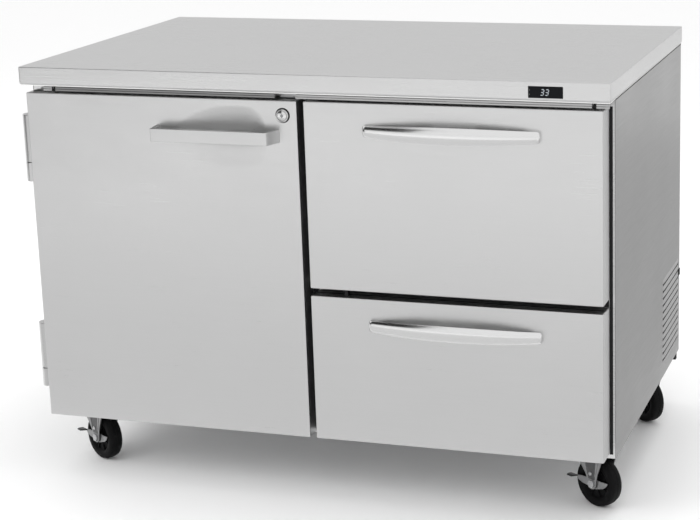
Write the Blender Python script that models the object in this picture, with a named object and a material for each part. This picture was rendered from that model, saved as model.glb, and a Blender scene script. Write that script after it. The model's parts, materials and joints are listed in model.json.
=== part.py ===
"""Undercounter refrigerator with a flat worktop, one hinged door, two drawers and four swivel casters.

Every size below is in millimetres, in a plan frame: x runs from the worktop's left edge to the right,
y from the door and drawer faces towards the back, z up from the floor. place() turns it into metres
with the origin at the middle of the footprint.
"""

import math

import bmesh
import bpy
from mathutils import Matrix, Vector

MM = 0.001
GAP = 0.3                     # clearance between touching pieces
SHEET = 1.5                   # stainless sheet

# Overall sizes
WIDTH, DEPTH, HEIGHT = 1226.0, 762.0, 880.0
WORKTOP_THICK = 38.0
WORKTOP_BOTTOM = HEIGHT - WORKTOP_THICK
WORKTOP_SHEET = 2.0
PANEL_INSET = 2.0             # side panels behind the worktop's edge
PANEL_BOTTOM = 128.0
BACK_Y = DEPTH - 5.0
HANDLE_REACH = 37.0           # door handle in front of the door's face
HINGE_REACH = 16.0            # hinge knuckles beyond the worktop's left edge

# Front panels
FRONT_THICK = 46.0
GASKET_THICK = 5.4
FRAME_Y = 52.0
FRAME_DEEP = 40.0
FRAME_BACK = FRAME_Y + FRAME_DEEP
FRONT_TOP = HEIGHT - 52.0
FRONT_BOTTOM = HEIGHT - 744.0
DOOR_X = (15.0, 604.0)
DRAWER_X = (618.0, 1211.0)
UPPER_DRAWER_Z = (HEIGHT - 428.5, FRONT_TOP)
LOWER_DRAWER_Z = (FRONT_BOTTOM, HEIGHT - 443.5)

# Openings in the front frame
DOOR_OPENING_X = (44.0, 580.0)
DRAWER_OPENING_X = (644.0, 1182.0)
OPENING_Z = (170.0, 800.0)
DRAWER_RAIL_Z = (420.0, 468.0)

# Cold cavity and machine compartment
CAVITY_X = (44.0, 1182.0)
CAVITY_BACK = 705.0
STEP_Y = 500.0
STEP_Z = 385.0
MACHINE_Y = 540.0
MACHINE_TOP = 345.0

# Door fittings
HINGE_AXIS = (-2.0, 36.0)
HINGE_RADIUS = 14.0
HINGE_SEAMS = (677.0, 230.0)          # between the door leaf above and the cabinet leaf below
DOOR_LEAF_TALL = 100.0
CABINET_LEAF_TALL = 41.0
DISH_CENTRE = (438.0, 755.0)
DISH_AXES = (97.0, 18.0, 62.0)
DISH_SHEET = 1.5
LOCK_CENTRE = (575.0, 799.0)
LOCK_RADIUS = 13.0

# Drawers
DRAWER_BOX_X = (664.0, 1162.0)
DRAWER_BOX_BACK = 470.0
UPPER_BOX_Z = (478.0, 690.0)
LOWER_BOX_Z = (180.0, 388.0)
UPPER_RAIL_Z = (620.0, 665.0)
LOWER_RAIL_Z = (330.0, 375.0)

# Casters
CASTER_INSET = 62.0
CASTER_Y = (126.0, 628.0)
CASTER_TURN = math.radians(-31)
REAR_CASTER_TURN = math.radians(-42)
CASTER_TRAIL = 14.0
WHEEL_RADIUS = 51.0
WHEEL_HALF_WIDE = 15.0
AXLE_RADIUS = 5.0

CENTRE_X = (WIDTH - HINGE_REACH) / 2
CENTRE_Y = (DEPTH - HANDLE_REACH) / 2

MATERIALS = {
    "stainless": ((0.62, 0.62, 0.62), 1.0, 0.32),
    "polished": ((0.75, 0.75, 0.75), 1.0, 0.12),
    "zinc_steel": ((0.55, 0.56, 0.57), 1.0, 0.4),
    "liner_metal": ((0.78, 0.79, 0.8), 0.9, 0.35),
    "foam": ((0.85, 0.78, 0.55), 0.0, 0.9),
    "gasket_rubber": ((0.03, 0.03, 0.03), 0.0, 0.6),
    "black_plastic": ((0.02, 0.02, 0.02), 0.0, 0.3),
    "wheel_rubber": ((0.02, 0.02, 0.02), 0.0, 0.55),
    "black_paint": ((0.03, 0.03, 0.035), 0.3, 0.4),
    "coil_metal": ((0.7, 0.7, 0.68), 0.9, 0.35),
    "coated_wire": ((0.8, 0.8, 0.78), 0.2, 0.4),
}


def place(x, y, z):
    """A plan point in millimetres as a world point in metres."""
    return Vector(((x - CENTRE_X) * MM, (y - CENTRE_Y) * MM, z * MM))


def clear_scene():
    for old in list(bpy.data.objects):
        bpy.data.objects.remove(old, do_unlink=True)


def make_material(name):
    colour, metallic, roughness = MATERIALS[name]
    material = bpy.data.materials.new(name)
    material.use_nodes = True
    shader = material.node_tree.nodes["Principled BSDF"]
    shader.inputs["Base Color"].default_value = (*colour, 1.0)
    shader.inputs["Metallic"].default_value = metallic
    shader.inputs["Roughness"].default_value = roughness
    return material


# Mesh shapes, in millimetres -------------------------------------------------------------------

def add_box(mesh, low, high):
    """A box from its lowest to its highest corner."""
    made = bmesh.ops.create_cube(mesh, size=1.0)["verts"]
    size = Vector(high) - Vector(low)
    middle = (Vector(high) + Vector(low)) / 2
    for vert in made:
        vert.co = Vector((vert.co.x * size.x, vert.co.y * size.y, vert.co.z * size.z)) + middle


def box(low, high):
    mesh = bmesh.new()
    add_box(mesh, low, high)
    return mesh


def prism(outline, start, end, axis="Y"):
    """An outline pulled from start to end along an axis; the outline holds the other two coordinates."""
    mesh = bmesh.new()
    turn = {"X": lambda a, b, c: (c, a, b), "Y": lambda a, b, c: (a, c, b), "Z": lambda a, b, c: (a, b, c)}
    corner = turn[axis]
    face = mesh.faces.new([mesh.verts.new(corner(a, b, start)) for a, b in outline])
    pulled = bmesh.ops.extrude_face_region(mesh, geom=[face])
    far = [item for item in pulled["geom"] if isinstance(item, bmesh.types.BMVert)]
    bmesh.ops.translate(mesh, verts=far, vec=Vector(corner(0, 0, end - start)))
    bmesh.ops.recalc_face_normals(mesh, faces=mesh.faces)
    return mesh


def turned(profile, centre, axis="Z", segments=24):
    """A closed outline of (radius, height) points turned about an axis through the centre."""
    mesh = bmesh.new()
    rings = []
    for step in range(segments):
        angle = 2 * math.pi * (step + 0.5) / segments
        rings.append([mesh.verts.new((r * math.cos(angle), r * math.sin(angle), h)) for r, h in profile])
    for step in range(segments):
        here, beyond = rings[step], rings[(step + 1) % segments]
        for index in range(len(profile)):
            after = (index + 1) % len(profile)
            mesh.faces.new((here[index], beyond[index], beyond[after], here[after]))
    bmesh.ops.remove_doubles(mesh, verts=mesh.verts, dist=0.001)
    spin = {"Z": Matrix(), "X": Matrix.Rotation(math.pi / 2, 4, "Y"), "Y": Matrix.Rotation(-math.pi / 2, 4, "X")}
    bmesh.ops.transform(mesh, matrix=Matrix.Translation(centre) @ spin[axis], verts=mesh.verts)
    bmesh.ops.recalc_face_normals(mesh, faces=mesh.faces)
    return mesh


def rod(radius, start, length, axis="Z", segments=16):
    """A round bar; start is the middle of its first end."""
    return turned([(0, 0), (radius, 0), (radius, length), (0, length)], start, axis, segments)


def grid_plate(a_cuts, b_cuts, holes, start, end, axis):
    """A plate with rectangular holes: its faces follow the cut lines, and holes names the empty cells."""
    mesh = bmesh.new()
    corner = {"X": lambda a, b, c: (c, a, b), "Y": lambda a, b, c: (a, c, b), "Z": lambda a, b, c: (a, b, c)}[axis]
    verts = {}

    def vert(i, j):
        if (i, j) not in verts:
            verts[i, j] = mesh.verts.new(corner(a_cuts[i], b_cuts[j], start))
        return verts[i, j]

    faces = []
    for i in range(len(a_cuts) - 1):
        for j in range(len(b_cuts) - 1):
            if (i, j) not in holes:
                faces.append(mesh.faces.new((vert(i, j), vert(i + 1, j), vert(i + 1, j + 1), vert(i, j + 1))))
    pulled = bmesh.ops.extrude_face_region(mesh, geom=faces)
    far = [item for item in pulled["geom"] if isinstance(item, bmesh.types.BMVert)]
    bmesh.ops.translate(mesh, verts=far, vec=Vector(corner(0, 0, end - start)))
    bmesh.ops.recalc_face_normals(mesh, faces=mesh.faces)
    return mesh


def slotted_plate(a_range, b_range, a_slots, b_slots, start, end, axis):
    """A plate with a slot at each crossing of the ranges in a_slots and b_slots."""
    a_cuts = [a_range[0]] + [edge for slot in a_slots for edge in slot] + [a_range[1]]
    b_cuts = [b_range[0]] + [edge for slot in b_slots for edge in slot] + [b_range[1]]
    holes = {(2 * i + 1, 2 * j + 1) for i in range(len(a_slots)) for j in range(len(b_slots))}
    return grid_plate(a_cuts, b_cuts, holes, start, end, axis)


def slot_row(first, pitch, size, count):
    return [(first + pitch * k, first + pitch * k + size) for k in range(count)]


def arc(centre, radius, start, end, steps):
    """Points along an arc, in degrees."""
    turns = [math.radians(start + (end - start) * k / steps) for k in range(steps + 1)]
    return [(centre[0] + radius * math.cos(t), centre[1] + radius * math.sin(t)) for t in turns]


def ellipsoid(centre, axes):
    """An ellipsoid whose poles lie along y, so its rings run round the direction it is pressed in."""
    mesh = bmesh.new()
    bmesh.ops.create_uvsphere(mesh, u_segments=20, v_segments=10, radius=1.0)
    for vert in mesh.verts:
        vert.co = Vector((centre[0] + vert.co.x * axes[0], centre[1] + vert.co.z * axes[1],
                          centre[2] + vert.co.y * axes[2]))
    bmesh.ops.recalc_face_normals(mesh, faces=mesh.faces)
    return mesh


# Objects ---------------------------------------------------------------------------------------

def add_object(name, mesh, pivot):
    """A mesh object whose origin is at the pivot, both in plan millimetres."""
    origin = place(*pivot)
    for vert in mesh.verts:
        vert.co = place(*vert.co) - origin
    data = bpy.data.meshes.new(name)
    mesh.to_mesh(data)
    mesh.free()
    made = bpy.data.objects.new(name, data)
    made.location = origin
    bpy.context.scene.collection.objects.link(made)
    return made


def part(name, mesh, material, pivot=(CENTRE_X, CENTRE_Y, 0.0), smooth=None, bevel=0.0):
    """One named piece with its material; smooth is an edge angle in degrees, bevel a width."""
    made = add_object(name, mesh, pivot)
    made.data.materials.append(materials[material])
    if smooth:
        made.data.shade_smooth()
        made.data.set_sharp_from_angle(angle=math.radians(smooth))
    if bevel:
        modifier = made.modifiers.new("edges", "BEVEL")
        modifier.width = bevel * MM
        modifier.segments = 1
        modifier.limit_method = "ANGLE"
    return made


def combine(target, mesh, operation):
    """Joins a mesh to a piece, or cuts it away, with a Boolean that keeps the exact solver."""
    tool = add_object(f"tool_{target.name}_{len(target.modifiers)}", mesh, (CENTRE_X, CENTRE_Y, 0.0))
    tool.hide_render = True
    tool.display_type = "WIRE"
    modifier = target.modifiers.new(operation.lower(), "BOOLEAN")
    modifier.operation = operation
    modifier.solver = "EXACT"
    modifier.object = tool


def cut(target, mesh):
    combine(target, mesh, "DIFFERENCE")


def join(target, mesh):
    combine(target, mesh, "UNION")


# Cabinet ---------------------------------------------------------------------------------------

DISPLAY_X = (1069.0, 1136.0)
DISPLAY_Z = (HEIGHT - 31.0, HEIGHT - 8.5)
DISPLAY_DEEP = 30.0


def display_pocket():
    return box((DISPLAY_X[0] - GAP, -1, DISPLAY_Z[0] - GAP),
               (DISPLAY_X[1] + GAP, DISPLAY_DEEP + GAP, DISPLAY_Z[1] + GAP))


def make_worktop():
    sheet = WORKTOP_SHEET
    top = part("worktop", box((0, 0, WORKTOP_BOTTOM), (WIDTH, DEPTH, HEIGHT)), "stainless", bevel=1.2)
    cut(top, box((sheet, sheet, WORKTOP_BOTTOM - 5), (WIDTH - sheet, DEPTH - sheet, HEIGHT - sheet)))
    cut(top, display_pocket())
    inside = sheet + GAP
    core = part("worktop_core", box((inside, inside, WORKTOP_BOTTOM),
                                    (WIDTH - inside, DEPTH - inside, HEIGHT - inside)), "foam")
    cut(core, display_pocket())
    display = part("display_module", box((DISPLAY_X[0], 0, DISPLAY_Z[0]),
                                         (DISPLAY_X[1], DISPLAY_DEEP, DISPLAY_Z[1])), "black_plastic")
    window = 1.5
    cut(display, box((DISPLAY_X[0] + window, -1, DISPLAY_Z[0] + window),
                     (DISPLAY_X[1] - window, 0.8, DISPLAY_Z[1] - window)))


PANEL_TOP = WORKTOP_BOTTOM - GAP
SHELL_X = (PANEL_INSET + SHEET + GAP, WIDTH - PANEL_INSET - SHEET - GAP)
PAN_TOP = PANEL_BOTTOM + 3.0
LOUVRE_Y = (552.0, 740.0)
LOUVRE_COUNT = 12


def make_panels():
    left = box((PANEL_INSET, FRAME_Y, PANEL_BOTTOM), (PANEL_INSET + SHEET, BACK_Y, PANEL_TOP))
    part("left_side_panel", left, "stainless")
    louvres = slot_row(PANEL_BOTTOM + 36, 15.7, 6.0, LOUVRE_COUNT)
    right = slotted_plate((FRAME_Y, BACK_Y), (PANEL_BOTTOM, PANEL_TOP), [LOUVRE_Y], louvres,
                          WIDTH - PANEL_INSET - SHEET, WIDTH - PANEL_INSET, "X")
    part("right_side_panel", right, "stainless")
    back = box((SHELL_X[0], BACK_Y - SHEET, MACHINE_TOP), (SHELL_X[1], BACK_Y, PANEL_TOP))
    part("back_panel", back, "stainless")
    columns = slot_row(SHELL_X[0] + 60, 380, 338, 3)
    rows = slot_row(PAN_TOP + 25, 22, 8, 8)
    grille = slotted_plate(SHELL_X, (PAN_TOP + GAP, MACHINE_TOP - GAP), columns, rows,
                           BACK_Y - SHEET, BACK_Y, "Y")
    part("rear_grille", grille, "stainless")
    pan = box((SHELL_X[0], FRAME_BACK + GAP, PANEL_BOTTOM), (SHELL_X[1], BACK_Y - SHEET - GAP, PAN_TOP))
    part("base_pan", pan, "stainless")


def cavity_outline(grow, front):
    """The cold cavity seen from the side, grown outwards by a wall's thickness."""
    floor, top = OPENING_Z[0] - grow, OPENING_Z[1] + grow
    return [(front, floor), (STEP_Y + grow, floor), (STEP_Y + grow, STEP_Z - grow),
            (CAVITY_BACK + grow, STEP_Z - grow), (CAVITY_BACK + grow, top), (front, top)]


def make_shell():
    front = FRAME_BACK + GAP
    back = BACK_Y - SHEET - GAP
    outline = [(front, PAN_TOP + GAP), (MACHINE_Y, PAN_TOP + GAP), (MACHINE_Y, MACHINE_TOP),
               (back, MACHINE_TOP), (back, PANEL_TOP), (front, PANEL_TOP)]
    foam = part("cabinet_insulation", prism(outline, SHELL_X[0], SHELL_X[1], "X"), "foam")
    wall = SHEET + GAP
    cut(foam, prism(cavity_outline(wall, front - 5), CAVITY_X[0] - wall, CAVITY_X[1] + wall, "X"))
    liner = part("cabinet_liner", prism(cavity_outline(SHEET, front), CAVITY_X[0] - SHEET,
                                        CAVITY_X[1] + SHEET, "X"), "liner_metal")
    cut(liner, prism(cavity_outline(0, front - 5), CAVITY_X[0], CAVITY_X[1], "X"))
    frame = grid_plate([SHELL_X[0], *DOOR_OPENING_X, *DRAWER_OPENING_X, SHELL_X[1]],
                       [PANEL_BOTTOM, OPENING_Z[0], *DRAWER_RAIL_Z, OPENING_Z[1], PANEL_TOP],
                       {(1, 1), (1, 2), (1, 3), (3, 1), (3, 3)}, FRAME_Y, FRAME_BACK, "Y")
    part("front_frame", frame, "stainless")


def make_strike():
    """An L-shaped catch under the worktop whose lip the lock's cam passes behind."""
    top = PANEL_TOP - GAP
    outline = [(30, top), (FRAME_Y - GAP, top), (FRAME_Y - GAP, top - 3), (34, top - 3),
               (34, FRONT_TOP + 1.5), (30, FRONT_TOP + 1.5)]
    part("lock_strike", prism(outline, 560.0, 640.0, "X"), "black_paint")


CONDENSER_Y = (564.0, 740.0)


def make_refrigeration():
    floor = PAN_TOP + GAP
    tray = part("condensing_unit_tray", box((120, 560, floor), (1190, 745, floor + 8)), "zinc_steel")
    cut(tray, box((122, 562, floor + 2), (1188, 743, floor + 20)))
    base = floor + 2 + GAP
    pot = [(0, base), (70, base), (70, base + 6), (62, base + 12), (62, base + 120), (48, base + 160), (0, base + 172)]
    compressor = part("compressor", turned(pot, (280, 652, 0)), "black_paint", smooth=35)
    join(compressor, box((190, 590, base), (370, 714, base + 4)))
    rows = slot_row(CONDENSER_Y[0] + 6, 16.5, 9, 10)
    fins = slotted_plate(CONDENSER_Y, (base, base + 190), rows, [(base + 14, base + 176)], 1120, 1170, "X")
    part("condenser_coil", fins, "coil_metal")
    middle = (sum(CONDENSER_Y) / 2, base + 95)
    shroud = part("condenser_fan_shroud", box((1104, CONDENSER_Y[0], base), (1112, CONDENSER_Y[1], base + 190)), "zinc_steel", smooth=30)
    cut(shroud, rod(84, (1090, *middle), 40, "X", 24))
    for side in (CONDENSER_Y[0] + 1, CONDENSER_Y[1] - 9):
        join(shroud, box((1030, side, middle[1] - 8), (1106, side + 8, middle[1] + 8)))
    join(shroud, box((1026, CONDENSER_Y[0] + 1, middle[1] - 10), (1031, CONDENSER_Y[1] - 1, middle[1] + 10)))
    join(shroud, rod(32, (1030, *middle), 38, "X", 16))
    part("condenser_fan_blade", fan(76, 20, 5, (1074, *middle), "X"), "black_plastic", (1074, *middle))


def fan(radius, hub, blades, centre, axis):
    """A fan: a hub and flat pitched blades that start inside it, as one closed body."""
    mesh = bmesh.new()
    sides = 2 * blades
    tall = 18.0
    low = [mesh.verts.new((hub * math.cos(math.pi * k / blades), hub * math.sin(math.pi * k / blades), 0))
           for k in range(sides)]
    high = [mesh.verts.new((v.co.x, v.co.y, tall)) for v in low]
    mesh.faces.new(low[::-1])
    mesh.faces.new(high)
    thick = 2.5
    for k in range(sides):
        after = (k + 1) % sides
        if k % 2:
            mesh.faces.new((low[k], low[after], high[after], high[k]))
            continue
        middle = math.pi * (k + 0.5) / blades
        outer = []
        for lift, spread in ((0.0, -0.3), (thick, -0.3), (tall, 0.3), (tall - thick, 0.3)):
            angle = middle + spread
            outer.append(mesh.verts.new((radius * math.cos(angle), radius * math.sin(angle), lift)))
        inner = []
        for lift, share in ((2.0, 0.2), (2.0 + thick, 0.2), (tall - 2.0, 0.8), (tall - 2.0 - thick, 0.8)):
            spot = low[k].co.lerp(low[after].co, share)
            inner.append(mesh.verts.new((spot.x, spot.y, lift)))
        ring = [low[k], low[after], high[after], high[k]]
        mesh.faces.new(outer)
        for a in range(4):
            b = (a + 1) % 4
            mesh.faces.new((inner[a], inner[b], outer[b], outer[a]))
        mesh.faces.new((ring[0], ring[1], inner[3], inner[0]))
        mesh.faces.new((ring[1], ring[2], inner[2], inner[3]))
        mesh.faces.new((ring[2], ring[3], inner[1], inner[2]))
        mesh.faces.new((ring[3], ring[0], inner[0], inner[1]))
    spin = {"X": Matrix.Rotation(math.pi / 2, 4, "Y"), "Y": Matrix.Rotation(-math.pi / 2, 4, "X")}[axis]
    bmesh.ops.transform(mesh, matrix=Matrix.Translation(centre) @ spin, verts=mesh.verts)
    bmesh.ops.recalc_face_normals(mesh, faces=mesh.faces)
    return mesh


def make_evaporator():
    x, y, z = (470.0, 900.0), (545.0, CAVITY_BACK - GAP), (480.0, 760.0)
    cover = part("evaporator_cover", box((x[0], y[0], z[0]), (x[1], y[1], z[1])), "liner_metal", smooth=30)
    cut(cover, box((x[0] + SHEET, y[0] + SHEET, z[0] + SHEET), (x[1] - SHEET, y[1] + 5, z[1] - SHEET)))
    fan_at = (600.0, 575.0, 620.0)
    cut(cover, rod(74, (fan_at[0], y[0] - 5, fan_at[2]), 20, "Y", 24))
    rows = slot_row(x[0] + 24, 24, 12, 16)
    fins = slotted_plate((x[0] + 10, x[1] - 10), (z[0] + 15, z[1] - 15), rows, [(z[0] + 30, z[1] - 30)],
                         y[1] - 80, y[1] - 10, "Y")
    part("evaporator_coil", fins, "coil_metal")
    part("evaporator_fan_blade", fan(68, 18, 4, (fan_at[0], fan_at[1] - 12, fan_at[2]), "Y"), "black_plastic",
         fan_at)


def make_interior():
    shelf_z = 472.0
    columns = slot_row(70, 34, 30, 16)
    shelf = slotted_plate((52, 626), (110, 690), columns, [(116, 300), (306, 494), (500, 684)],
                          shelf_z, shelf_z + 5, "Z")
    part("wire_shelf", shelf, "coated_wire")
    under = shelf_z - GAP
    left = [(CAVITY_X[0] + GAP, under - 20), (CAVITY_X[0] + 2, under - 20), (CAVITY_X[0] + 2, under - 2),
            (58, under - 2), (58, under), (CAVITY_X[0] + GAP, under)]
    part("left_shelf_ledge", prism(left, 110, 690, "Y"), "liner_metal")
    wall = RAIL_PLATES[0][0] - GAP
    right = [(wall, under - 20), (wall, under), (618, under), (618, under - 2), (wall - 2, under - 2),
             (wall - 2, under - 20)]
    part("right_shelf_ledge", prism(right, 110, 486, "Y"), "liner_metal")


RAIL_THICK = 4.0
RAIL_Y = (FRAME_BACK + 2.0, 490.0)
RAIL_PLATES = ((646.0, 650.0), (1176.0, 1180.0))
MEMBER_Y = (FRAME_BACK + 4.0, 468.0)


def make_drawer_rails():
    posts = [RAIL_Y[0], RAIL_Y[0] + 16, RAIL_Y[1] - 16, RAIL_Y[1]]
    levels = [OPENING_Z[0] + GAP, OPENING_Z[0] + 18, *LOWER_RAIL_Z, *UPPER_RAIL_Z,
              OPENING_Z[1] - 18, OPENING_Z[1] - GAP]
    holes = {(1, 1), (1, 3), (1, 5)}
    left = grid_plate(posts, levels, holes, *RAIL_PLATES[0], "X")
    frame = part("drawer_rail_frame", left, "zinc_steel")
    join(frame, grid_plate(posts, levels, holes, *RAIL_PLATES[1], "X"))
    for low in (OPENING_Z[0] + 4, 740.0):
        join(frame, box((RAIL_PLATES[0][1] - 1, RAIL_Y[1] - 12, low), (RAIL_PLATES[1][0] + 1, RAIL_Y[1] - 2, low + 24)))


def make_slide_members(level, rail_z):
    """The pair of telescoping members between the fixed rails and the drawer."""
    for side, x in (("left", (650.4, 654.8)), ("right", (1171.2, 1175.6))):
        member = box((x[0], MEMBER_Y[0], rail_z[0] + 2), (x[1], MEMBER_Y[1], rail_z[1] - 2))
        part(f"{level}_slide_{side}", member, "zinc_steel", (x[0], MEMBER_Y[0], rail_z[0]))


# Door and drawers ------------------------------------------------------------------------------

def gasket_ring(x, z):
    """A square frame just inside a panel's edge, behind it."""
    edge, wide = 7.0, 12.0
    return grid_plate([x[0] + edge, x[0] + edge + wide, x[1] - edge - wide, x[1] - edge],
                      [z[0] + edge, z[0] + edge + wide, z[1] - edge - wide, z[1] - edge],
                      {(1, 1)}, FRONT_THICK + GAP, FRONT_THICK + GASKET_THICK, "Y")


def make_front(name, x, z, pivot):
    """The skin, core and gasket of one insulated front."""
    skin = part(f"{name}_skin", box((x[0], 0, z[0]), (x[1], FRONT_THICK, z[1])), "stainless", pivot, bevel=1.0)
    hollow = box((x[0] + SHEET, SHEET, z[0] + SHEET), (x[1] - SHEET, FRONT_THICK + 5, z[1] - SHEET))
    edge = SHEET + GAP
    core = part(f"{name}_core", box((x[0] + edge, edge, z[0] + edge), (x[1] - edge, FRONT_THICK - GAP, z[1] - edge)),
                "foam", pivot)
    part(f"{name}_gasket", gasket_ring(x, z), "gasket_rubber", pivot)
    return skin, core, hollow


def make_door():
    pivot = (*HINGE_AXIS, 0.0)
    z = (FRONT_BOTTOM, FRONT_TOP)
    skin, core, hollow = make_front("door", DOOR_X, z, pivot)
    centre = (DISH_CENTRE[0], -0.6, DISH_CENTRE[1])
    outer = [size + DISH_SHEET for size in DISH_AXES]
    cut(skin, hollow)
    join(skin, half_bowl(centre, outer))
    cut(skin, ellipsoid(centre, DISH_AXES))
    cut(core, ellipsoid(centre, [size + GAP for size in outer]))
    bore = LOCK_RADIUS - 3 + GAP
    cut(skin, rod(bore, (LOCK_CENTRE[0], -5, LOCK_CENTRE[1]), 20, "Y", 16))
    cut(core, rod(bore, (LOCK_CENTRE[0], -5, LOCK_CENTRE[1]), 43, "Y", 16))
    slot = box((LOCK_CENTRE[0] - 30, 35.5, FRONT_TOP - 5), (LOCK_CENTRE[0] + 9, 42.5, FRONT_TOP + 5))
    cut(skin, slot)
    cut(core, box((LOCK_CENTRE[0] - 44, 35.5, LOCK_CENTRE[1] - 9), (LOCK_CENTRE[0] + 11, 42.5, FRONT_TOP + 5)))
    make_door_handle(pivot)
    make_lock()


def half_bowl(centre, axes):
    """The back half of an ellipsoid, which stiffens the dish behind the front sheet."""
    bowl = ellipsoid(centre, axes)
    cutting = bowl.verts[:] + bowl.edges[:] + bowl.faces[:]
    cleft = bmesh.ops.bisect_plane(bowl, geom=cutting, plane_co=(0, SHEET / 2, 0), plane_no=(0, 1, 0),
                                   clear_inner=True)
    rim = [item for item in cleft["geom_cut"] if isinstance(item, bmesh.types.BMEdge)]
    bmesh.ops.contextual_create(bowl, geom=rim)
    bmesh.ops.recalc_face_normals(bowl, faces=bowl.faces)
    return bowl


def make_door_handle(pivot):
    """A strap handle whose ends flare back to the door's face."""
    left, right, flare, thick = 316.0, 552.0, 15.0, 9.0
    outline = [(left - flare, -GAP), (left, -HANDLE_REACH), (right, -HANDLE_REACH), (right + flare, -GAP),
               (right + flare - 22, -GAP), (right - 8, thick - HANDLE_REACH), (left + 8, thick - HANDLE_REACH),
               (left - flare + 22, -GAP)]
    middle = 757.5
    part("door_handle", prism(outline, middle - 13, middle + 13, "Z"), "polished", pivot, bevel=1.5)


def make_lock():
    """A key cylinder with its cam, which lies to the left when it is open and stands up when it is locked."""
    x, z = LOCK_CENTRE
    head = [(0, -6), (LOCK_RADIUS - 2, -6), (LOCK_RADIUS, -4), (LOCK_RADIUS, -GAP), (LOCK_RADIUS - 3, -GAP),
            (LOCK_RADIUS - 3, 37), (0, 37)]
    lock = part("lock_cylinder", turned(head, (x, 0, z), "Y", 20), "polished", (x, 0, z), smooth=35)
    join(lock, box((x - 37, 36.5, z - 6), (x + 6, 39.5, z + 6)))
    cut(lock, box((x - 1.2, -8, z - 5), (x + 1.2, -3.5, z + 5)))


def bow_handle(centre_x, centre_z):
    """A bow: wider and further out in the middle, its rounded ends flat on the panel's face."""
    half_long, out, thick = 176.0, 33.0, 6.5
    steps = 14
    mesh = bmesh.new()
    rings = []
    for step in range(steps + 1):
        t = 2 * step / steps - 1
        x = centre_x + half_long * t
        rise = (1 - abs(t) ** 2.4) ** 0.75
        front = -7.0 - (out - 7.0) * rise
        back = min(front + thick, -GAP) if abs(t) < 0.9 else -GAP
        tall = 9.0 + 7.0 * (1 - t * t)
        chamfer = 2.0
        rings.append([mesh.verts.new((x, y, centre_z + z)) for y, z in (
            (front, -tall + chamfer), (front, tall - chamfer), (front + chamfer, tall), (back, tall),
            (back, -tall), (front + chamfer, -tall))])
    for here, beyond in zip(rings, rings[1:]):
        for k in range(6):
            mesh.faces.new((here[k], here[(k + 1) % 6], beyond[(k + 1) % 6], beyond[k]))
    mesh.faces.new(rings[0])
    mesh.faces.new(rings[-1][::-1])
    bmesh.ops.recalc_face_normals(mesh, faces=mesh.faces)
    return mesh


def drawer_tray(x, z, runner_z):
    """An open-topped box with a runner bar along each side."""
    y = (FRONT_THICK + GAP, DRAWER_BOX_BACK)
    outside = box((x[0], y[0], z[0]), (x[1], y[1], z[1]))
    hollow = box((x[0] + SHEET, y[0] + SHEET, z[0] + SHEET), (x[1] - SHEET, y[1] - SHEET, z[1] + 5))
    runners = [box((655.2, 62, runner_z[0] + 5), (x[0] + 0.5, y[1], runner_z[1] - 5)),
               box((x[1] - 0.5, 62, runner_z[0] + 5), (1170.8, y[1], runner_z[1] - 5))]
    return outside, hollow, runners


def make_drawer(level, z, box_z, rail_z):
    pivot = (DRAWER_X[0], 0.0, z[0])
    skin, _core, hollow = make_front(f"{level}_drawer", DRAWER_X, z, pivot)
    cut(skin, hollow)
    mesh, inside, runners = drawer_tray(DRAWER_BOX_X, box_z, rail_z)
    tray = part(f"{level}_drawer_box", mesh, "liner_metal", pivot)
    cut(tray, inside)
    for runner in runners:
        join(tray, runner)
    part(f"{level}_drawer_handle", bow_handle(917.0, z[1] - 53.0), "polished", pivot, smooth=40)
    make_slide_members(level, rail_z)


def make_hinges():
    x, y = HINGE_AXIS
    round_end = arc(HINGE_AXIS, HINGE_RADIUS, 270, 90, 8)
    door_leaf = [(DOOR_X[0] - GAP, y - HINGE_RADIUS), *round_end, (x + 5, y + HINGE_RADIUS),
                 (x + 8, y + 10), (DOOR_X[0] - GAP, y + 10)]
    side = PANEL_INSET - GAP
    cabinet_leaf = [(side, y - 11), (x, y - HINGE_RADIUS), *round_end[1:-1], (x, y + HINGE_RADIUS),
                    (x + 0.5, 95.0), (side, 95.0)]
    for name, seam in zip(("upper", "lower"), HINGE_SEAMS):
        low = seam - GAP
        leaf = part(f"{name}_hinge_leaf", prism(door_leaf, seam, seam + DOOR_LEAF_TALL, "Z"), "stainless",
                    (x, y, seam), smooth=30)
        cut(leaf, rod(5.6, (x, y, seam - 5), 75, "Z", 12))
        bracket = part(f"{name}_hinge_bracket", prism(cabinet_leaf, low - CABINET_LEAF_TALL, low, "Z"),
                       "stainless", smooth=30)
        join(bracket, rod(5.0, (x, y, low - 5), 60, "Z", 12))


def make_inlet():
    ring = [(5, 0), (16, 0), (14, 4), (9, 4), (9, 4.5), (5, 4.5)]
    gland = turned(ring, (160.0, BACK_Y + GAP, 160.0 + PAN_TOP), "Y", 16)
    part("power_cord_gland", gland, "black_plastic", smooth=35)


# Casters ---------------------------------------------------------------------------------------

CHANNEL_TOP = PANEL_BOTTOM - GAP
RACE_BOTTOM = 112.0
FORK_TOP = RACE_BOTTOM - GAP
FORK_PLATE = 7.5


def make_channel(side, x):
    """A strip under the base that carries two swivel races with their kingpins."""
    channel = part(f"{side}_caster_channel", box((x - 44, CASTER_Y[0] - 55, CHANNEL_TOP - 3),
                                                 (x + 44, CASTER_Y[1] + 55, CHANNEL_TOP)), "zinc_steel", smooth=30)
    race = [(0, 103.6), (6, 103.6), (6, RACE_BOTTOM), (24, RACE_BOTTOM), (28, CHANNEL_TOP - 2), (0, CHANNEL_TOP - 2)]
    for y in CASTER_Y:
        join(channel, turned(race, (x, y, 0), "Z", 20))


def caster_point(x, y, z):
    """A point near a caster, given from its swivel axis, as a plan point."""
    return (CENTRE_X + x, CENTRE_Y + y, z)


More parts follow.
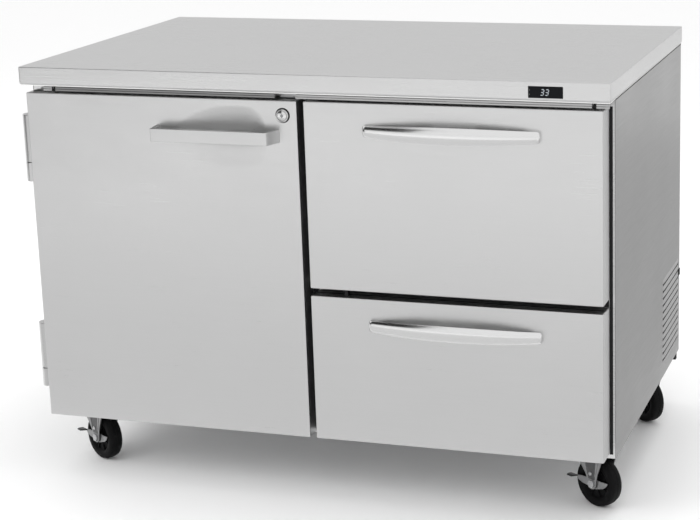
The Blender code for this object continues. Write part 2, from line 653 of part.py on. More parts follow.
def make_caster(name, x, y, turn, braked):
    """Fork, wheel and brake lever, modelled along the x axis and then turned about the swivel axis."""
    swivel = bpy.data.objects.new(f"{name}_swivel_axis", None)
    swivel.location = place(x, y, 0)
    swivel.rotation_euler = (0, 0, turn)
    bpy.context.scene.collection.objects.link(swivel)
    before = set(bpy.data.objects)
    make_fork(name)
    make_wheel(name)
    if braked:
        make_lever(name)
    for made in set(bpy.data.objects) - before:
        made.parent = swivel


def make_fork(name):
    trail = CASTER_TRAIL
    under = FORK_TOP - FORK_PLATE
    plate = [(7, under), (32, under), (32, FORK_TOP - 2), (30, FORK_TOP), (7, FORK_TOP)]
    fork = part(f"{name}_fork", turned(plate, caster_point(0, 0, 0), "Z", 20), "zinc_steel", smooth=30)
    cheek = [(-26, FORK_TOP - 2), (-26, under - 8), (trail - 11, 56), *arc((trail, WHEEL_RADIUS), 11, 180, 360, 6),
             (30, under - 8), (30, FORK_TOP - 2)]
    outline = [(CENTRE_X + a, b) for a, b in cheek]
    for y in (-23.0, 20.0):
        join(fork, prism(outline, CENTRE_Y + y, CENTRE_Y + y + 3, "Y"))
    axle = rod(AXLE_RADIUS, caster_point(trail, -22, WHEEL_RADIUS), 44, "Y", 12)
    join(fork, axle)
    for y in (-28.0, 22.0):
        join(fork, rod(8, caster_point(trail, y, WHEEL_RADIUS), 6, "Y", 6))


def make_wheel(name):
    wide = WHEEL_HALF_WIDE
    sides = 24
    r = WHEEL_RADIUS / math.cos(math.pi / sides)
    profile = [(AXLE_RADIUS + 0.6, -wide), (12, -wide), (15, -wide + 5), (33, -wide + 5), (37, -wide + 1),
               (r - 4, -wide + 1), (r - 1, -wide + 4), (r, -wide + 9)]
    profile += [(a, -b) for a, b in reversed(profile)]
    centre = caster_point(CASTER_TRAIL, 0, WHEEL_RADIUS)
    part(f"{name}_wheel", turned(profile, centre, "Y", sides), "wheel_rubber", centre, smooth=40)


def make_lever(name):
    """A rocker plate beside the wheel, with a foot pad at its end."""
    centre = caster_point(CASTER_TRAIL, 0, WHEEL_RADIUS)
    shape = [(-50, 4), (-12, 7), (0, 11), (12, 7), (36, 7), (30, -4), (12, -8), (0, -11), (-12, -8), (-38, -6),
             (-50, 0)]
    outline = [(centre[0] + a, centre[2] + b) for a, b in shape]
    lever = part(f"{name}_brake_lever", prism(outline, centre[1] - 18.5, centre[1] - 16.5, "Y"), "zinc_steel",
                 centre)
    cut(lever, rod(AXLE_RADIUS + 0.7, (centre[0], centre[1] - 25, centre[2]), 20, "Y", 12))
    join(lever, box((centre[0] - 62, centre[1] - 34, centre[2] + 1), (centre[0] - 42, centre[1] - 17, centre[2] + 4)))


def make_casters():
    left, right = CASTER_INSET, WIDTH - CASTER_INSET
    make_channel("left", left)
    make_channel("right", right)
    make_caster("front_left", left, CASTER_Y[0], CASTER_TURN, True)
    make_caster("front_right", right, CASTER_Y[0], CASTER_TURN, True)
    make_caster("rear_left", left, CASTER_Y[1], REAR_CASTER_TURN, False)
    make_caster("rear_right", right, CASTER_Y[1], REAR_CASTER_TURN, False)


clear_scene()
materials = {name: make_material(name) for name in MATERIALS}
make_worktop()
make_panels()
make_shell()
make_strike()
make_refrigeration()
make_evaporator()
make_interior()
make_drawer_rails()
make_door()
make_hinges()
make_drawer("upper", UPPER_DRAWER_Z, UPPER_BOX_Z, UPPER_RAIL_Z)
make_drawer("lower", LOWER_DRAWER_Z, LOWER_BOX_Z, LOWER_RAIL_Z)
make_inlet()
make_casters()
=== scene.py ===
import json
import math

import bmesh
import bpy
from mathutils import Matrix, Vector


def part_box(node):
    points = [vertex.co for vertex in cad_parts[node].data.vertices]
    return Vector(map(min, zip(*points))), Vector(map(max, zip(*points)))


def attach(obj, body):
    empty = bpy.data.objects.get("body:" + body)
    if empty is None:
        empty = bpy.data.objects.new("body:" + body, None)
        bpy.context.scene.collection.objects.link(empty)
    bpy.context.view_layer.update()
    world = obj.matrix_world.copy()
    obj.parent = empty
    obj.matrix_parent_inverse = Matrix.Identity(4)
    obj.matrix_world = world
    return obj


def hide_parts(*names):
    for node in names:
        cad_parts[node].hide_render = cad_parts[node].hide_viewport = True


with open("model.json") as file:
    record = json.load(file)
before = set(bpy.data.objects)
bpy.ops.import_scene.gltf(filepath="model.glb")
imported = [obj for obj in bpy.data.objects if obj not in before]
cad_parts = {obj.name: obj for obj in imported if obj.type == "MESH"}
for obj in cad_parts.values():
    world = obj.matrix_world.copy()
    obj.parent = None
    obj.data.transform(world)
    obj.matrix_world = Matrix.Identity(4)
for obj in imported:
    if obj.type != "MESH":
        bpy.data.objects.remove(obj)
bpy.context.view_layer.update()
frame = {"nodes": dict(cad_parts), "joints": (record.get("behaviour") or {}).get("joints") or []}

NODES = frame["nodes"]
LOCK_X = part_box("door_skin")[1].x - 0.029
LOCK_Z = 0.799
UP = Vector((0, 0, 1))
FRONTS = ("door", "upper_drawer", "lower_drawer")


# Materials


def principled(name, colour, metallic, roughness):
    material = bpy.data.materials.new(name)
    material.use_nodes = True
    shader = material.node_tree.nodes["Principled BSDF"]
    shader.inputs["Base Color"].default_value = (*colour, 1.0)
    shader.inputs["Metallic"].default_value = metallic
    shader.inputs["Roughness"].default_value = roughness
    return material, shader


def greys(level):
    return (level, level, level)


def add_node(material, kind, sources, **values):
    """A shader node with inputs linked from sources by name, or set by name with _ for a space."""
    node = material.node_tree.nodes.new(f"ShaderNode{kind}")
    for name, value in values.items():
        node.inputs[name.replace("_", " ")].default_value = value
    for name, source in sources.items():
        material.node_tree.links.new(source, node.inputs[name])
    return node


def noise(material, scale, detail=4.0, rough=0.6, stretch=(1, 1, 1)):
    """Noise in object space; a small number in stretch makes long streaks along that axis."""
    coord = add_node(material, "TexCoord", {})
    mapping = add_node(material, "Mapping", {"Vector": coord.outputs["Object"]}, Scale=stretch)
    texture = add_node(material, "TexNoise", {"Vector": mapping.outputs["Vector"]},
                       Scale=scale, Detail=detail, Roughness=rough)
    return texture.outputs["Fac"]


def spread(material, source, low, high):
    """Maps the middle part of a noise onto the range low to high."""
    ranged = add_node(material, "MapRange", {"Value": source},
                      From_Min=0.3, From_Max=0.7, To_Min=low, To_Max=high)
    return ranged.outputs["Result"]


def multiply(material, first, second):
    maths = add_node(material, "Math", {0: first, 1: second})
    maths.operation = "MULTIPLY"
    return maths.outputs["Value"]


def tint(material, shader, factor, dark, light):
    nodes, links = material.node_tree.nodes, material.node_tree.links
    mix = nodes.new("ShaderNodeMix")
    mix.data_type = "RGBA"
    links.new(factor, mix.inputs["Factor"])
    mix.inputs["A"].default_value = (*dark, 1.0)
    mix.inputs["B"].default_value = (*light, 1.0)
    links.new(mix.outputs["Result"], shader.inputs["Base Color"])


def bump(material, shader, height, strength, distance):
    node = add_node(material, "Bump", {"Height": height}, Strength=strength, Distance=distance)
    material.node_tree.links.new(node.outputs["Normal"], shader.inputs["Normal"])


STREAK = 0.012                # stretch of the noise along the grain


def brushed(name, grey, roughness, grain, depth=0.12, scale=700.0, contrast=1.0):
    """Brushed stainless: long fine scratches along grain, broad handling marks and a slight grey drift."""
    material, shader = principled(name, greys(grey), 1.0, roughness)
    stretch = {"x": (STREAK, 1, 1), "y": (1, STREAK, 1), "z": (1, 1, STREAK)}[grain]
    scratches = noise(material, scale, 5.0, 0.7, stretch)
    smudges = noise(material, 3.5, 5.0, 0.62)
    fine = spread(material, scratches, roughness - 0.06 * contrast, roughness + 0.07 * contrast)
    broad = spread(material, smudges, 0.92, 1.1)
    material.node_tree.links.new(multiply(material, fine, broad), shader.inputs["Roughness"])
    drift = multiply(material, spread(material, scratches, 0.3, 0.7), spread(material, smudges, 0.7, 1.3))
    low, high = 1 - 0.045 * contrast, 1 + 0.03 * contrast
    tint(material, shader, drift, greys(grey * low), greys(grey * high))
    bump(material, shader, scratches, depth, 0.0002)
    return material


def coated(name, colour, metallic, roughness, scale, strength, distance=0.0003, varied=0.12, sheen=0.5,
           drift=0.12):
    """Paint, moulded plastic or rubber with a fine surface grain and uneven gloss."""
    material, shader = principled(name, colour, metallic, roughness)
    shader.inputs["Specular IOR Level"].default_value = sheen
    grain = noise(material, scale, 3.0)
    patches = noise(material, 14.0)
    rough = spread(material, patches, roughness * (1 - varied), min(1.0, roughness * (1 + varied)))
    material.node_tree.links.new(rough, shader.inputs["Roughness"])
    dark = tuple(c * (1 - drift) for c in colour)
    light = tuple(min(1.0, c * (1 + drift) + 0.0005) for c in colour)
    tint(material, shader, spread(material, patches, 0.0, 1.0), dark, light)
    bump(material, shader, grain, strength, distance)
    return material


def zinc(name, grey, roughness):
    """Plated steel: pale spangle patches and light rub marks."""
    material, shader = principled(name, greys(grey), 1.0, roughness)
    spangle = noise(material, 90.0, 2.0, 0.5)
    marks = noise(material, 22.0, 6.0, 0.7, (1, 1, 0.3))
    rough = multiply(material, spread(material, spangle, roughness - 0.08, roughness + 0.08),
                     spread(material, marks, 0.9, 1.15))
    material.node_tree.links.new(rough, shader.inputs["Roughness"])
    patches = spread(material, spangle, 0.0, 1.0)
    tint(material, shader, patches, (grey * 0.85, grey * 0.86, grey * 0.88), greys(grey * 1.08))
    bump(material, shader, marks, 0.08, 0.0003)
    return material


def glow(shader, colour, strength):
    shader.inputs["Emission Color"].default_value = (*colour, 1)
    shader.inputs["Emission Strength"].default_value = strength


def foam_material():
    material, shader = principled("rigid_foam", (0.82, 0.74, 0.5), 0.0, 0.9)
    cells = noise(material, 420.0, 3.0, 0.7)
    patches = spread(material, noise(material, 9.0), 0, 1)
    tint(material, shader, patches, (0.72, 0.62, 0.36), (0.88, 0.81, 0.58))
    bump(material, shader, cells, 0.5, 0.0006)
    return material


def glow_material():
    material, shader = principled("display_light", (0.35, 0.37, 0.4), 0.0, 0.4)
    glow(shader, (0.85, 0.93, 1.0), 0.6)
    return material


WORKTOP_STEEL = brushed("worktop_steel", 0.66, 0.30, "x", 0.10)
# Painted shade: the sides, back and rear grille are the same stainless as the fronts, given a much darker
# grey for the dimmer light that falls on them.
PANEL_STEEL_PAINTED_SHADE = brushed("panel_steel", 0.37, 0.34, "y", 0.12)
# Painted light: the side panel's own steel, given a lighter grey so the louvre hoods read as catching the
# light.
LOUVRE_STEEL_PAINTED_LIGHT = brushed("louvre_steel_painted_light", 0.50, 0.34, "y", 0.05)
FRONT_STEEL = brushed("front_steel", 0.655, 0.33, "x", 0.10)
# Painted light: the frame is the same stainless as the fronts, given a lighter grey to lift the shade in the
# narrow gaps where it shows.
FRAME_STEEL_PAINTED_LIGHT = brushed("frame_steel_painted_light", 0.72, 0.30, "x", 0.12)
HANDLE_METAL = brushed("handle_metal", 0.64, 0.34, "x", 0.02, 900.0, 0.3)
BOW_METAL = brushed("bow_metal", 0.74, 0.18, "x", 0.012, 900.0, 0.2)
HINGE_METAL = brushed("hinge_metal", 0.58, 0.30, "z", 0.06)
LINER_METAL = brushed("liner_metal", 0.72, 0.36, "z", 0.10, 400.0)
ZINC = zinc("zinc_steel", 0.55, 0.36)
CASTER_STEEL = zinc("caster_steel", 0.34, 0.38)
CHROME = brushed("lock_chrome", 0.72, 0.16, "x", 0.02, 1200.0)
COIL = brushed("coil_metal", 0.6, 0.4, "z", 0.3, 500.0)
BLACK_PAINT = coated("black_paint", (0.022, 0.022, 0.024), 0.2, 0.42, 260.0, 0.15)
BLACK_PLASTIC = coated("black_plastic", (0.008, 0.008, 0.0085), 0.0, 0.45, 500.0, 0.12, sheen=0.25)
WINDOW = coated("display_window", (0.003, 0.0033, 0.0045), 0.0, 0.16, 900.0, 0.01, sheen=0.12)
RUBBER = coated("gasket_rubber", (0.010, 0.010, 0.011), 0.0, 0.62, 380.0, 0.25, sheen=0.25)
WHEEL_RUBBER = coated("wheel_rubber", (0.0045, 0.0045, 0.0048), 0.0, 0.5, 300.0, 0.18, 0.0004, 0.2,
                      sheen=0.08)
WIRE = coated("coated_wire", (0.62, 0.63, 0.62), 0.1, 0.36, 240.0, 0.1)
PALE_PLASTIC = coated("pale_plastic", (0.70, 0.71, 0.71), 0.0, 0.42, 320.0, 0.12, drift=0.02)
DARK_STEEL = zinc("dark_steel", 0.14, 0.42)
FOAM = foam_material()
# Painted light: a matte grey standing in for the drawers' steel right returns, in the lit tone they show.
RETURN_PAINTED_LIGHT = coated("return_painted_light", (0.46, 0.46, 0.46), 0.0, 0.5, 300.0, 0.1, drift=0.02)
# Painted shade: two darker copies of the front steel for the strips above the fronts, the door's darker than
# the drawers'.
DOOR_BAND_PAINTED_SHADE = brushed("door_band_painted_shade", 0.26, 0.34, "x", 0.05)
DRAWER_BAND_PAINTED_SHADE = brushed("drawer_band_painted_shade", 0.46, 0.34, "x", 0.05)
BOARD = coated("backing_board", (0.84, 0.84, 0.83), 0.0, 0.8, 200.0, 0.3, drift=0.04)
GLOW = glow_material()


# Mesh helpers


def in_scene(name, data):
    made = bpy.data.objects.new(name, data)
    bpy.context.scene.collection.objects.link(made)
    return made


def object_from(name, mesh):
    """An object in the scene made from a bmesh, which is freed."""
    data = bpy.data.meshes.new(name)
    mesh.to_mesh(data)
    mesh.free()
    return in_scene(name, data)


def round_edges(made, width, segments, angle):
    edge = made.modifiers.new("rounding", "BEVEL")
    edge.width = width
    edge.segments = segments
    edge.limit_method = "ANGLE"
    edge.angle_limit = math.radians(angle)
    edge.harden_normals = True


def piece(name, mesh, material, body, slot, stands_for=(), smooth=35, weighted=False, bevel=0.0, segments=3):
    """Makes an object from a bmesh in row coordinates and rides it on its body; slot is not used."""
    bmesh.ops.recalc_face_normals(mesh, faces=mesh.faces)
    made = object_from(name, mesh)
    made.data.materials.append(material)
    made.data.shade_smooth()
    made.data.set_sharp_from_angle(angle=math.radians(smooth))
    if bevel:
        round_edges(made, bevel, segments, 40)
    if weighted:
        normals = made.modifiers.new("flat faces", "WEIGHTED_NORMAL")
        normals.keep_sharp = True
        normals.weight = 100
    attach(made, body)
    if stands_for:
        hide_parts(*stands_for)


def finish_node(name, material, bevel=0.0):
    """Gives a CAD node its final material, and a small rounding on its edges."""
    node = NODES[name]
    node.data.materials.clear()
    node.data.materials.append(material)
    if bevel:
        round_edges(node, bevel, 2, 50)


def join_rings(mesh, near, far):
    """Quads between two closed rings of verts with equal counts."""
    for k in range(len(near)):
        after = (k + 1) % len(near)
        mesh.faces.new((near[k], near[after], far[after], far[k]))


def bridge(mesh, rings):
    """Joins closed rings of points with quads and returns the rings as verts."""
    made = [[mesh.verts.new(point) for point in ring] for ring in rings]
    for here, beyond in zip(made, made[1:]):
        join_rings(mesh, here, beyond)
    return made


def loft(mesh, rings):
    """A closed tube through the rings with flat ends."""
    made = bridge(mesh, rings)
    mesh.faces.new(made[0][::-1])
    mesh.faces.new(made[-1])


def add_box(mesh, low, high):
    low, high = Vector(low), Vector(high)
    made = bmesh.ops.create_cube(mesh, size=1.0)["verts"]
    for vert in made:
        vert.co = Vector((a * s for a, s in zip(vert.co, high - low))) + (high + low) / 2


def box_piece(name, boxes, *finish, **options):
    """A piece made of boxes, each given by its low and high corners."""
    mesh = bmesh.new()
    for low, high in boxes:
        add_box(mesh, low, high)
    piece(name, mesh, *finish, **options)


def plastic_blocks(name, boxes, body="cabinet", bevel=0.0008):
    box_piece(name, boxes, BLACK_PLASTIC, body, "fan_plastic", bevel=bevel)


def rubber_strips(name, boxes, body="cabinet"):
    box_piece(name, boxes, RUBBER, body, "gasket_rubber", smooth=30)


def frame_from(axis):
    """Two unit vectors square to an axis."""
    axis = Vector(axis).normalized()
    side = axis.orthogonal().normalized()
    if abs(axis.z) < 0.9:
        side = UP.cross(axis).normalized()
    return side, axis.cross(side)


def band(inner, outer, start, end):
    """The outline of a plain ring, or of a disc when inner is 0."""
    return [(inner, start), (outer, start), (outer, end), (inner, end)]


ON_AXIS = 1e-6                # a radius below this closes the outline on its axis


def turn(mesh, profile, centre, axis, segments=48):
    """Turns (radius, height) points about an axis; the outline may start and end on the axis."""
    axis = Vector(axis).normalized()
    side, up = frame_from(axis)
    centre = Vector(centre)
    angles = [2 * math.pi * k / segments for k in range(segments)]
    rings = [[centre + axis * height + (side * math.cos(a) + up * math.sin(a)) * max(radius, 1e-5)
              for a in angles] for radius, height in profile]
    made = bridge(mesh, rings)
    for end in (0, -1):
        if profile[end][0] < ON_AXIS:
            bmesh.ops.contextual_create(mesh, geom=made[end])
    if profile[0][0] >= ON_AXIS:
        join_rings(mesh, made[-1], made[0])


def tube_along(mesh, points, radius, sides=8, closed=False):
    """A round wire along points."""
    points = [Vector(p) for p in points]
    rings = []
    count = len(points)
    for k, point in enumerate(points):
        before = points[k - 1] if (k or closed) else point
        beyond = points[(k + 1) % count] if (k < count - 1 or closed) else point
        side, up = frame_from(beyond - before)
        rings.append([point + (side * math.cos(a) + up * math.sin(a)) * radius
                      for a in (2 * math.pi * j / sides for j in range(sides))])
    if closed:
        made = bridge(mesh, rings)
        join_rings(mesh, made[-1], made[0])
    else:
        loft(mesh, rings)


def outline(u0, u1, v0, v1, radius, side_steps=6, corner_steps=4, fractions=None):
    """A rounded rectangle, anticlockwise from its lower left; fractions places the points on its sides."""
    radius = max(radius, 0.0002)
    corners = [(u0, v0, 180), (u1, v0, 270), (u1, v1, 0), (u0, v1, 90)]
    points = []
    for index, (u, v, start) in enumerate(corners):
        cu = u + radius if u == u0 else u - radius
        cv = v + radius if v == v0 else v - radius
        for step in range(corner_steps + 1):
            angle = math.radians(start + 90 * step / corner_steps)
            points.append((cu + radius * math.cos(angle), cv + radius * math.sin(angle)))
        nu, nv, _ = corners[(index + 1) % 4]
        places = fractions[index] if fractions else [k / (side_steps + 1) for k in range(1, side_steps + 1)]
        edge_u, edge_v = nu - u, nv - v
        long = math.hypot(edge_u, edge_v)
        for place in places:
            along = radius + (long - 2 * radius) * place
            points.append((u + edge_u * along / long, v + edge_v * along / long))
    return points
def inset_ring(u, v, inset, y, radius, side_steps=6, corner_steps=4):
    """A rounded rectangle in the plane of the fronts, drawn in on all sides, as points at depth y."""
    points = outline(u[0] + inset, u[1] - inset, v[0] + inset, v[1] - inset, radius, side_steps, corner_steps)
    return [(a, y, b) for a, b in points]


def sheet_pan(u, v, depth, to_world, edge=0.003, corner=0.003, wall=0.0012, flange=0.012, back=0.0012,
              dish=None):
    """A sheet metal pan: rounded front edges, sides, and a flange turned in along its back edge."""
    mesh = bmesh.new()
    fractions = dish.side_places(u, v) if dish else None

    def ring(inset, deep):
        sides = u[0] + inset, u[1] - inset, v[0] + inset, v[1] - inset
        return [to_world(a, b, deep) for a, b in outline(*sides, corner - inset, 6, 4, fractions)]

    steps = 5
    quarter = [math.pi / 2 * k / steps for k in range(steps + 1)]
    outer = [(edge * (1 - math.sin(a)), edge * (1 - math.cos(a))) for a in quarter]
    outer += [(back * (1 - math.cos(a)), depth - back + back * math.sin(a)) for a in quarter]
    outer += [(flange, depth), (flange, depth - wall), (wall + back * 0.5, depth - wall),
              (wall, depth - wall - back * 0.5)]
    inner = max(edge - wall, 0.0003)
    outer += [(wall + inner * (1 - math.cos(a)), wall + inner * (1 - math.sin(a))) for a in quarter]
    made = bridge(mesh, [ring(a, b) for a, b in outer])
    if dish:
        dish.close(mesh, made[0], to_world, 0.0)
        dish.close(mesh, made[-1], to_world, wall)
    else:
        mesh.faces.new(made[0])
        mesh.faces.new(made[-1])
    return mesh


class Dish:
    """A pressed finger dish, blunt on the right and drawn out to the left."""

    right, left, half_tall, deep = 0.061, 0.134, 0.064, 0.0078
    soft = 0.06               # share of the rim over which the depth is averaged
    low_share = 0.30          # share of the depth kept in the lower half
    scales = [1.03, 1.015, 1.0, 0.985, 0.97, 0.94, 0.9, 0.84, 0.76, 0.66, 0.54, 0.4, 0.25, 0.1]

    def __init__(self, centre):
        self.centre = centre

    def side_places(self, u, v):
        """Where the rays from the dish's middle meet each side, as fractions of that side."""
        corners = [(u[0], v[0]), (u[1], v[0]), (u[1], v[1]), (u[0], v[1])]
        middle, steps = self.centre, 14
        places = []
        for index in range(4):
            a, b = corners[index], corners[(index + 1) % 4]
            along, across = index % 2, 1 - index % 2
            low, high = (math.atan2(end[1] - middle[1], end[0] - middle[0]) for end in (a, b))
            if high < low:
                high += 2 * math.pi
            found = []
            for k in range(1, steps + 1):
                angle = low + (high - low) * k / (steps + 1)
                ray = math.cos(angle), math.sin(angle)
                reach = (a[across] - middle[across]) / ray[across]
                spot = (middle[along] + reach * ray[along] - a[along]) / (b[along] - a[along])
                found.append(min(max(spot, 0.002), 0.998))
            places.append(found)
        return places

    def rim(self, angle):
        c, s = math.cos(angle), math.sin(angle)
        power = 0.68 if c > 0 else 1.0
        reach = self.right if c > 0 else self.left
        return (reach * math.copysign(abs(c) ** power, c), self.half_tall * math.copysign(abs(s) ** power, s))

    def depth(self, scale):
        """Depth at a share of the way out to the rim, rounded over the rim itself."""
        samples = [scale + self.soft * k / 4 for k in range(-4, 5)]
        return sum(self.deep * (1 - min(s, 1.0) ** 2) ** 1.2 for s in map(abs, samples)) / len(samples)

    def fall(self, height):
        """Share of the depth kept at a height: the lower half is much shallower than the upper one."""
        share = min(max((height + 0.020) / 0.030, 0.0), 1.0)
        return self.low_share + (1 - self.low_share) * share * share * (3 - 2 * share)

    def close(self, mesh, border, to_world, offset):
        """Fills the border with a flat ring and the dish."""
        middle_u, middle_v = self.centre
        angles = [math.atan2(vert.co.z - middle_v, vert.co.x - middle_u) for vert in border]
        last = border
        for scale in self.scales:
            ring = []
            for angle in angles:
                du, dv = (reach * scale for reach in self.rim(angle))
                depth = self.depth(scale) * self.fall(dv) + offset
                ring.append(mesh.verts.new(to_world(middle_u + du, middle_v + dv, depth)))
            join_rings(mesh, last, ring)
            last = ring
        mesh.faces.new(last)


def swept_frame(mesh, x, z, profile):
    """A closed profile of (inset, y) points carried round a rectangle with mitred corners."""
    rings = [[(x[sx] + (-inset if sx else inset), y, z[sz] + (-inset if sz else inset))
              for inset, y in profile] for sx, sz in ((0, 0), (1, 0), (1, 1), (0, 1))]
    made = bridge(mesh, rings)
    join_rings(mesh, made[-1], made[0])


def extrude(mesh, shape, start, end, to_world):
    """A flat outline given thickness."""
    near = [mesh.verts.new(to_world(a, b, start)) for a, b in shape]
    far = [mesh.verts.new(to_world(a, b, end)) for a, b in shape]
    mesh.faces.new(near[::-1])
    mesh.faces.new(far)
    join_rings(mesh, near, far)


def arc(cu, cv, radius, start, end, steps):
    angles = [math.radians(start + (end - start) * k / steps) for k in range(steps + 1)]
    return [(cu + radius * math.cos(a), cv + radius * math.sin(a)) for a in angles]


def screws(name, spots, normal, radius, material, body, slot):
    """Pan head screws with a round pit and a thin raised cross on the head."""
    mesh = bmesh.new()
    normal = Vector(normal)
    head = [(0, 0.0), (1, 0.0), (1, 0.25), (0.86, 0.5), (0.5, 0.66), (0.2, 0.7), (0.17, 0.3), (0, 0.3)]
    profile = [(radius * across, radius * rise) for across, rise in head]
    for spot in map(Vector, spots):
        turn(mesh, profile, spot, normal, 20)
        for direction in frame_from(normal):
            wide = direction.cross(normal) * radius * 0.1
            reach = direction * radius * 0.5
            low, high = normal * radius * 0.6, normal * radius * 0.72
            ring = [spot + reach + wide, spot + reach - wide, spot - reach - wide, spot - reach + wide]
            loft(mesh, [[p + low for p in ring], [p + high for p in ring]])
    piece(name, mesh, material, body, slot, smooth=40)


# Worktop and cabinet


def make_worktop():
    low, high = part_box("worktop")
    mesh = sheet_pan((low.x, high.x), (low.y, high.y), high.z - low.z,
                     lambda a, b, d: (a, b, high.z - d), edge=0.0016, corner=0.004, flange=0.022, back=0.006)
    piece("worktop_sheet", mesh, WORKTOP_STEEL, "cabinet", "worktop_steel", ("worktop",), 35, True)
    finish_node("worktop_core", BOARD, 0.0062)


# The strokes of a three, as (across, up) shares of the digit
DIGIT_STROKES = (((0.1, 1.0), (0.9, 1.0)), ((1.0, 0.94), (1.0, 0.56)), ((0.1, 0.5), (0.9, 0.5)),
                 ((1.0, 0.44), (1.0, 0.06)), ((0.1, 0.0), (0.9, 0.0)))


def make_display():
    """A black window with a lit two digit number and two indicator dots."""
    low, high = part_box("display_module")
    front = low.y
    mesh = bmesh.new()
    loft(mesh, [inset_ring((low.x, high.x), (low.z, high.z), inset, front + y, 0.0012, 2, 3)
                for inset, y in ((0.0, 0.004), (0.0, -0.0002), (0.0004, -0.0006))])
    piece("display_window", mesh, WINDOW, "cabinet", "display_plastic", ("display_module",), 30)
    digit_tall, digit_wide, slant, stroke = 0.0106, 0.0056, 0.2, 0.00042
    base = low.z + 0.0058
    mesh = bmesh.new()
    for start in (low.x + 0.0235, low.x + 0.0325):
        for (u0, v0), (u1, v1) in DIGIT_STROKES:
            a = Vector((start + digit_wide * u0 + slant * digit_tall * v0, 0, base + digit_tall * v0))
            b = Vector((start + digit_wide * u1 + slant * digit_tall * v1, 0, base + digit_tall * v1))
            along = (b - a).normalized()
            across = Vector((-along.z, 0, along.x)) * stroke
            tips = along * stroke
            ring = [a - across * 0.2, a + tips + across, b - tips + across, b - across * 0.2,
                    b - tips - across, a + tips - across]
            loft(mesh, [[(p.x, front - rise, p.z) for p in ring] for rise in (0.00055, 0.0008)])
    piece("display_digits", mesh, GLOW, "cabinet", "display_plastic")
    mesh = bmesh.new()
    for rise in (0.007, 0.015):
        turn(mesh, [(0, 0), (0.0004, 0), (0.0004, 0.0002), (0, 0.0002)],
             (low.x + 0.003, front - 0.0006, low.z + rise), (0, -1, 0), 12)
    piece("display_dots", mesh, PALE_PLASTIC, "cabinet", "display_plastic")


LOUVRE_RISE = 0.0019
HOOD_SINK = 0.0004            # how far the back of a hood sits in its sheet
HOOD_OVERLAP = 0.002          # how far a hood runs past the ends of its slot
SIDE_SLOTS = 12
REAR_SLOTS = 8
SCREW_EDGE = 0.012            # screws to the edge of their sheet


def hoods(mesh, start, end, rows, to_world, tall=0.0085):
    """Pressed louvres, one above each slot: they swell out from the sheet and end in a lip."""
    along, across = 22, 7
    shares = [j / across for j in range(across + 1)]
    for row in rows:
        rings = []
        for i in range(along + 1):
            t = i / along
            rise = LOUVRE_RISE * max(1 - abs(2 * t - 1) ** 3.2, 0.0) ** 0.6
            place = start + (end - start) * t
            ring = [to_world(place, row + tall * (1 - s), rise * math.sin(s * math.pi / 2) + 1e-5)
                    for s in shares]
            ring += [to_world(place, row, -HOOD_SINK), to_world(place, row + tall, -HOOD_SINK)]
            rings.append(ring)
        loft(mesh, rings)


def slot_rows(name, count):
    """The lower edges of a node's slots, spaced evenly between its first and last, and their height."""
    edges = sorted({round(v.co.z, 4) for v in NODES[name].data.vertices})[1:-1]
    first, last = edges[0], edges[-1]
    size = edges[1] - edges[0]
    pitch = (last - size - first) / (count - 1)
    return [first + pitch * k for k in range(count)], size


def make_panels():
    finish_node("front_frame", FRAME_STEEL_PAINTED_LIGHT, 0.0008)
    rows, size = slot_rows("right_side_panel", SIDE_SLOTS)
    low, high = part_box("right_side_panel")
    inner = sorted({round(v.co.y, 4) for v in NODES["right_side_panel"].data.vertices})
    lips = [row + size - 0.0001 for row in rows]
    mesh = bmesh.new()
    hoods(mesh, inner[1] - HOOD_OVERLAP, inner[-2] + HOOD_OVERLAP, lips, lambda a, b, d: (high.x + d, a, b))
    piece("right_panel_louvres", mesh, LOUVRE_STEEL_PAINTED_LIGHT, "cabinet", "panel_steel", smooth=50)
    # Painted shadow: black strips on the sheet just under each hood, standing for the shade beneath the
    # hoods.
    louvre_shadows = [((high.x - 0.0005, inner[1], lip - 0.0030), (high.x + 0.0003, inner[-2], lip - 0.0001))
              for lip in lips]
    box_piece("right_louvre_painted_shadows", louvre_shadows, BLACK_PLASTIC, "cabinet", "fan_plastic", smooth=30)
    clip = (high.x - 0.0005, high.y - 0.013, 0.309), (high.x + 0.0016, high.y + 0.001, 0.324)
    rows, size = slot_rows("rear_grille", REAR_SLOTS)
    low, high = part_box("rear_grille")
    inner = sorted({round(v.co.x, 4) for v in NODES["rear_grille"].data.vertices})[1:-1]
    mesh = bmesh.new()
    for start, end in zip(inner[::2], inner[1::2]):
        hoods(mesh, start - HOOD_OVERLAP, end + HOOD_OVERLAP, [row + size - 0.001 for row in rows],
              lambda a, b, d: (a, high.y + d, b), 0.009)
    piece("rear_grille_louvres", mesh, PANEL_STEEL_PAINTED_SHADE, "cabinet", "panel_steel", smooth=50)
    grille_spots = [(x, high.y, low.z + 0.01) for x in even(low.x + SCREW_EDGE, high.x - SCREW_EDGE, 6)]
    low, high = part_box("back_panel")
    x0, x1, z0, z1 = low.x + SCREW_EDGE, high.x - SCREW_EDGE, low.z + SCREW_EDGE, high.z - SCREW_EDGE
    spots = [(x, high.y, z) for x in even(x0, x1, 6) for z in (z0, z1)]
    spots += [(x, high.y, z) for x in (x0, x1) for z in even(low.z + 0.13, high.z - 0.13, 3)]
    screws("rear_screws", spots + grille_spots, (0, 1, 0), 0.0042, ZINC, "cabinet", "zinc_steel")
    plastic_blocks("rear_edge_clip", [clip])


# The strip's outline, as (behind the door's face, below the worktop), with two grooves in its front
DRIP_LIP = [(0.0092, 0.0001), (0.0092, 0.0024), (0.0060, 0.0027), (0.0060, 0.0054), (0.0085, 0.0057),
            (0.0085, 0.0068), (0.0060, 0.0071), (0.0062, 0.0102), (0.0080, 0.0108), (0.0120, 0.0102),
            (0.0120, 0.0001)]
DOOR_LIPS = [(-0.526, -0.048)]
DRAWER_LIPS = [(-0.004, 0.584), (0.5925, 0.6165), (-0.553, -0.534)]
STOPS_X = (-0.530, 0.5895)
BUMPER_X = (0.082, 0.089)


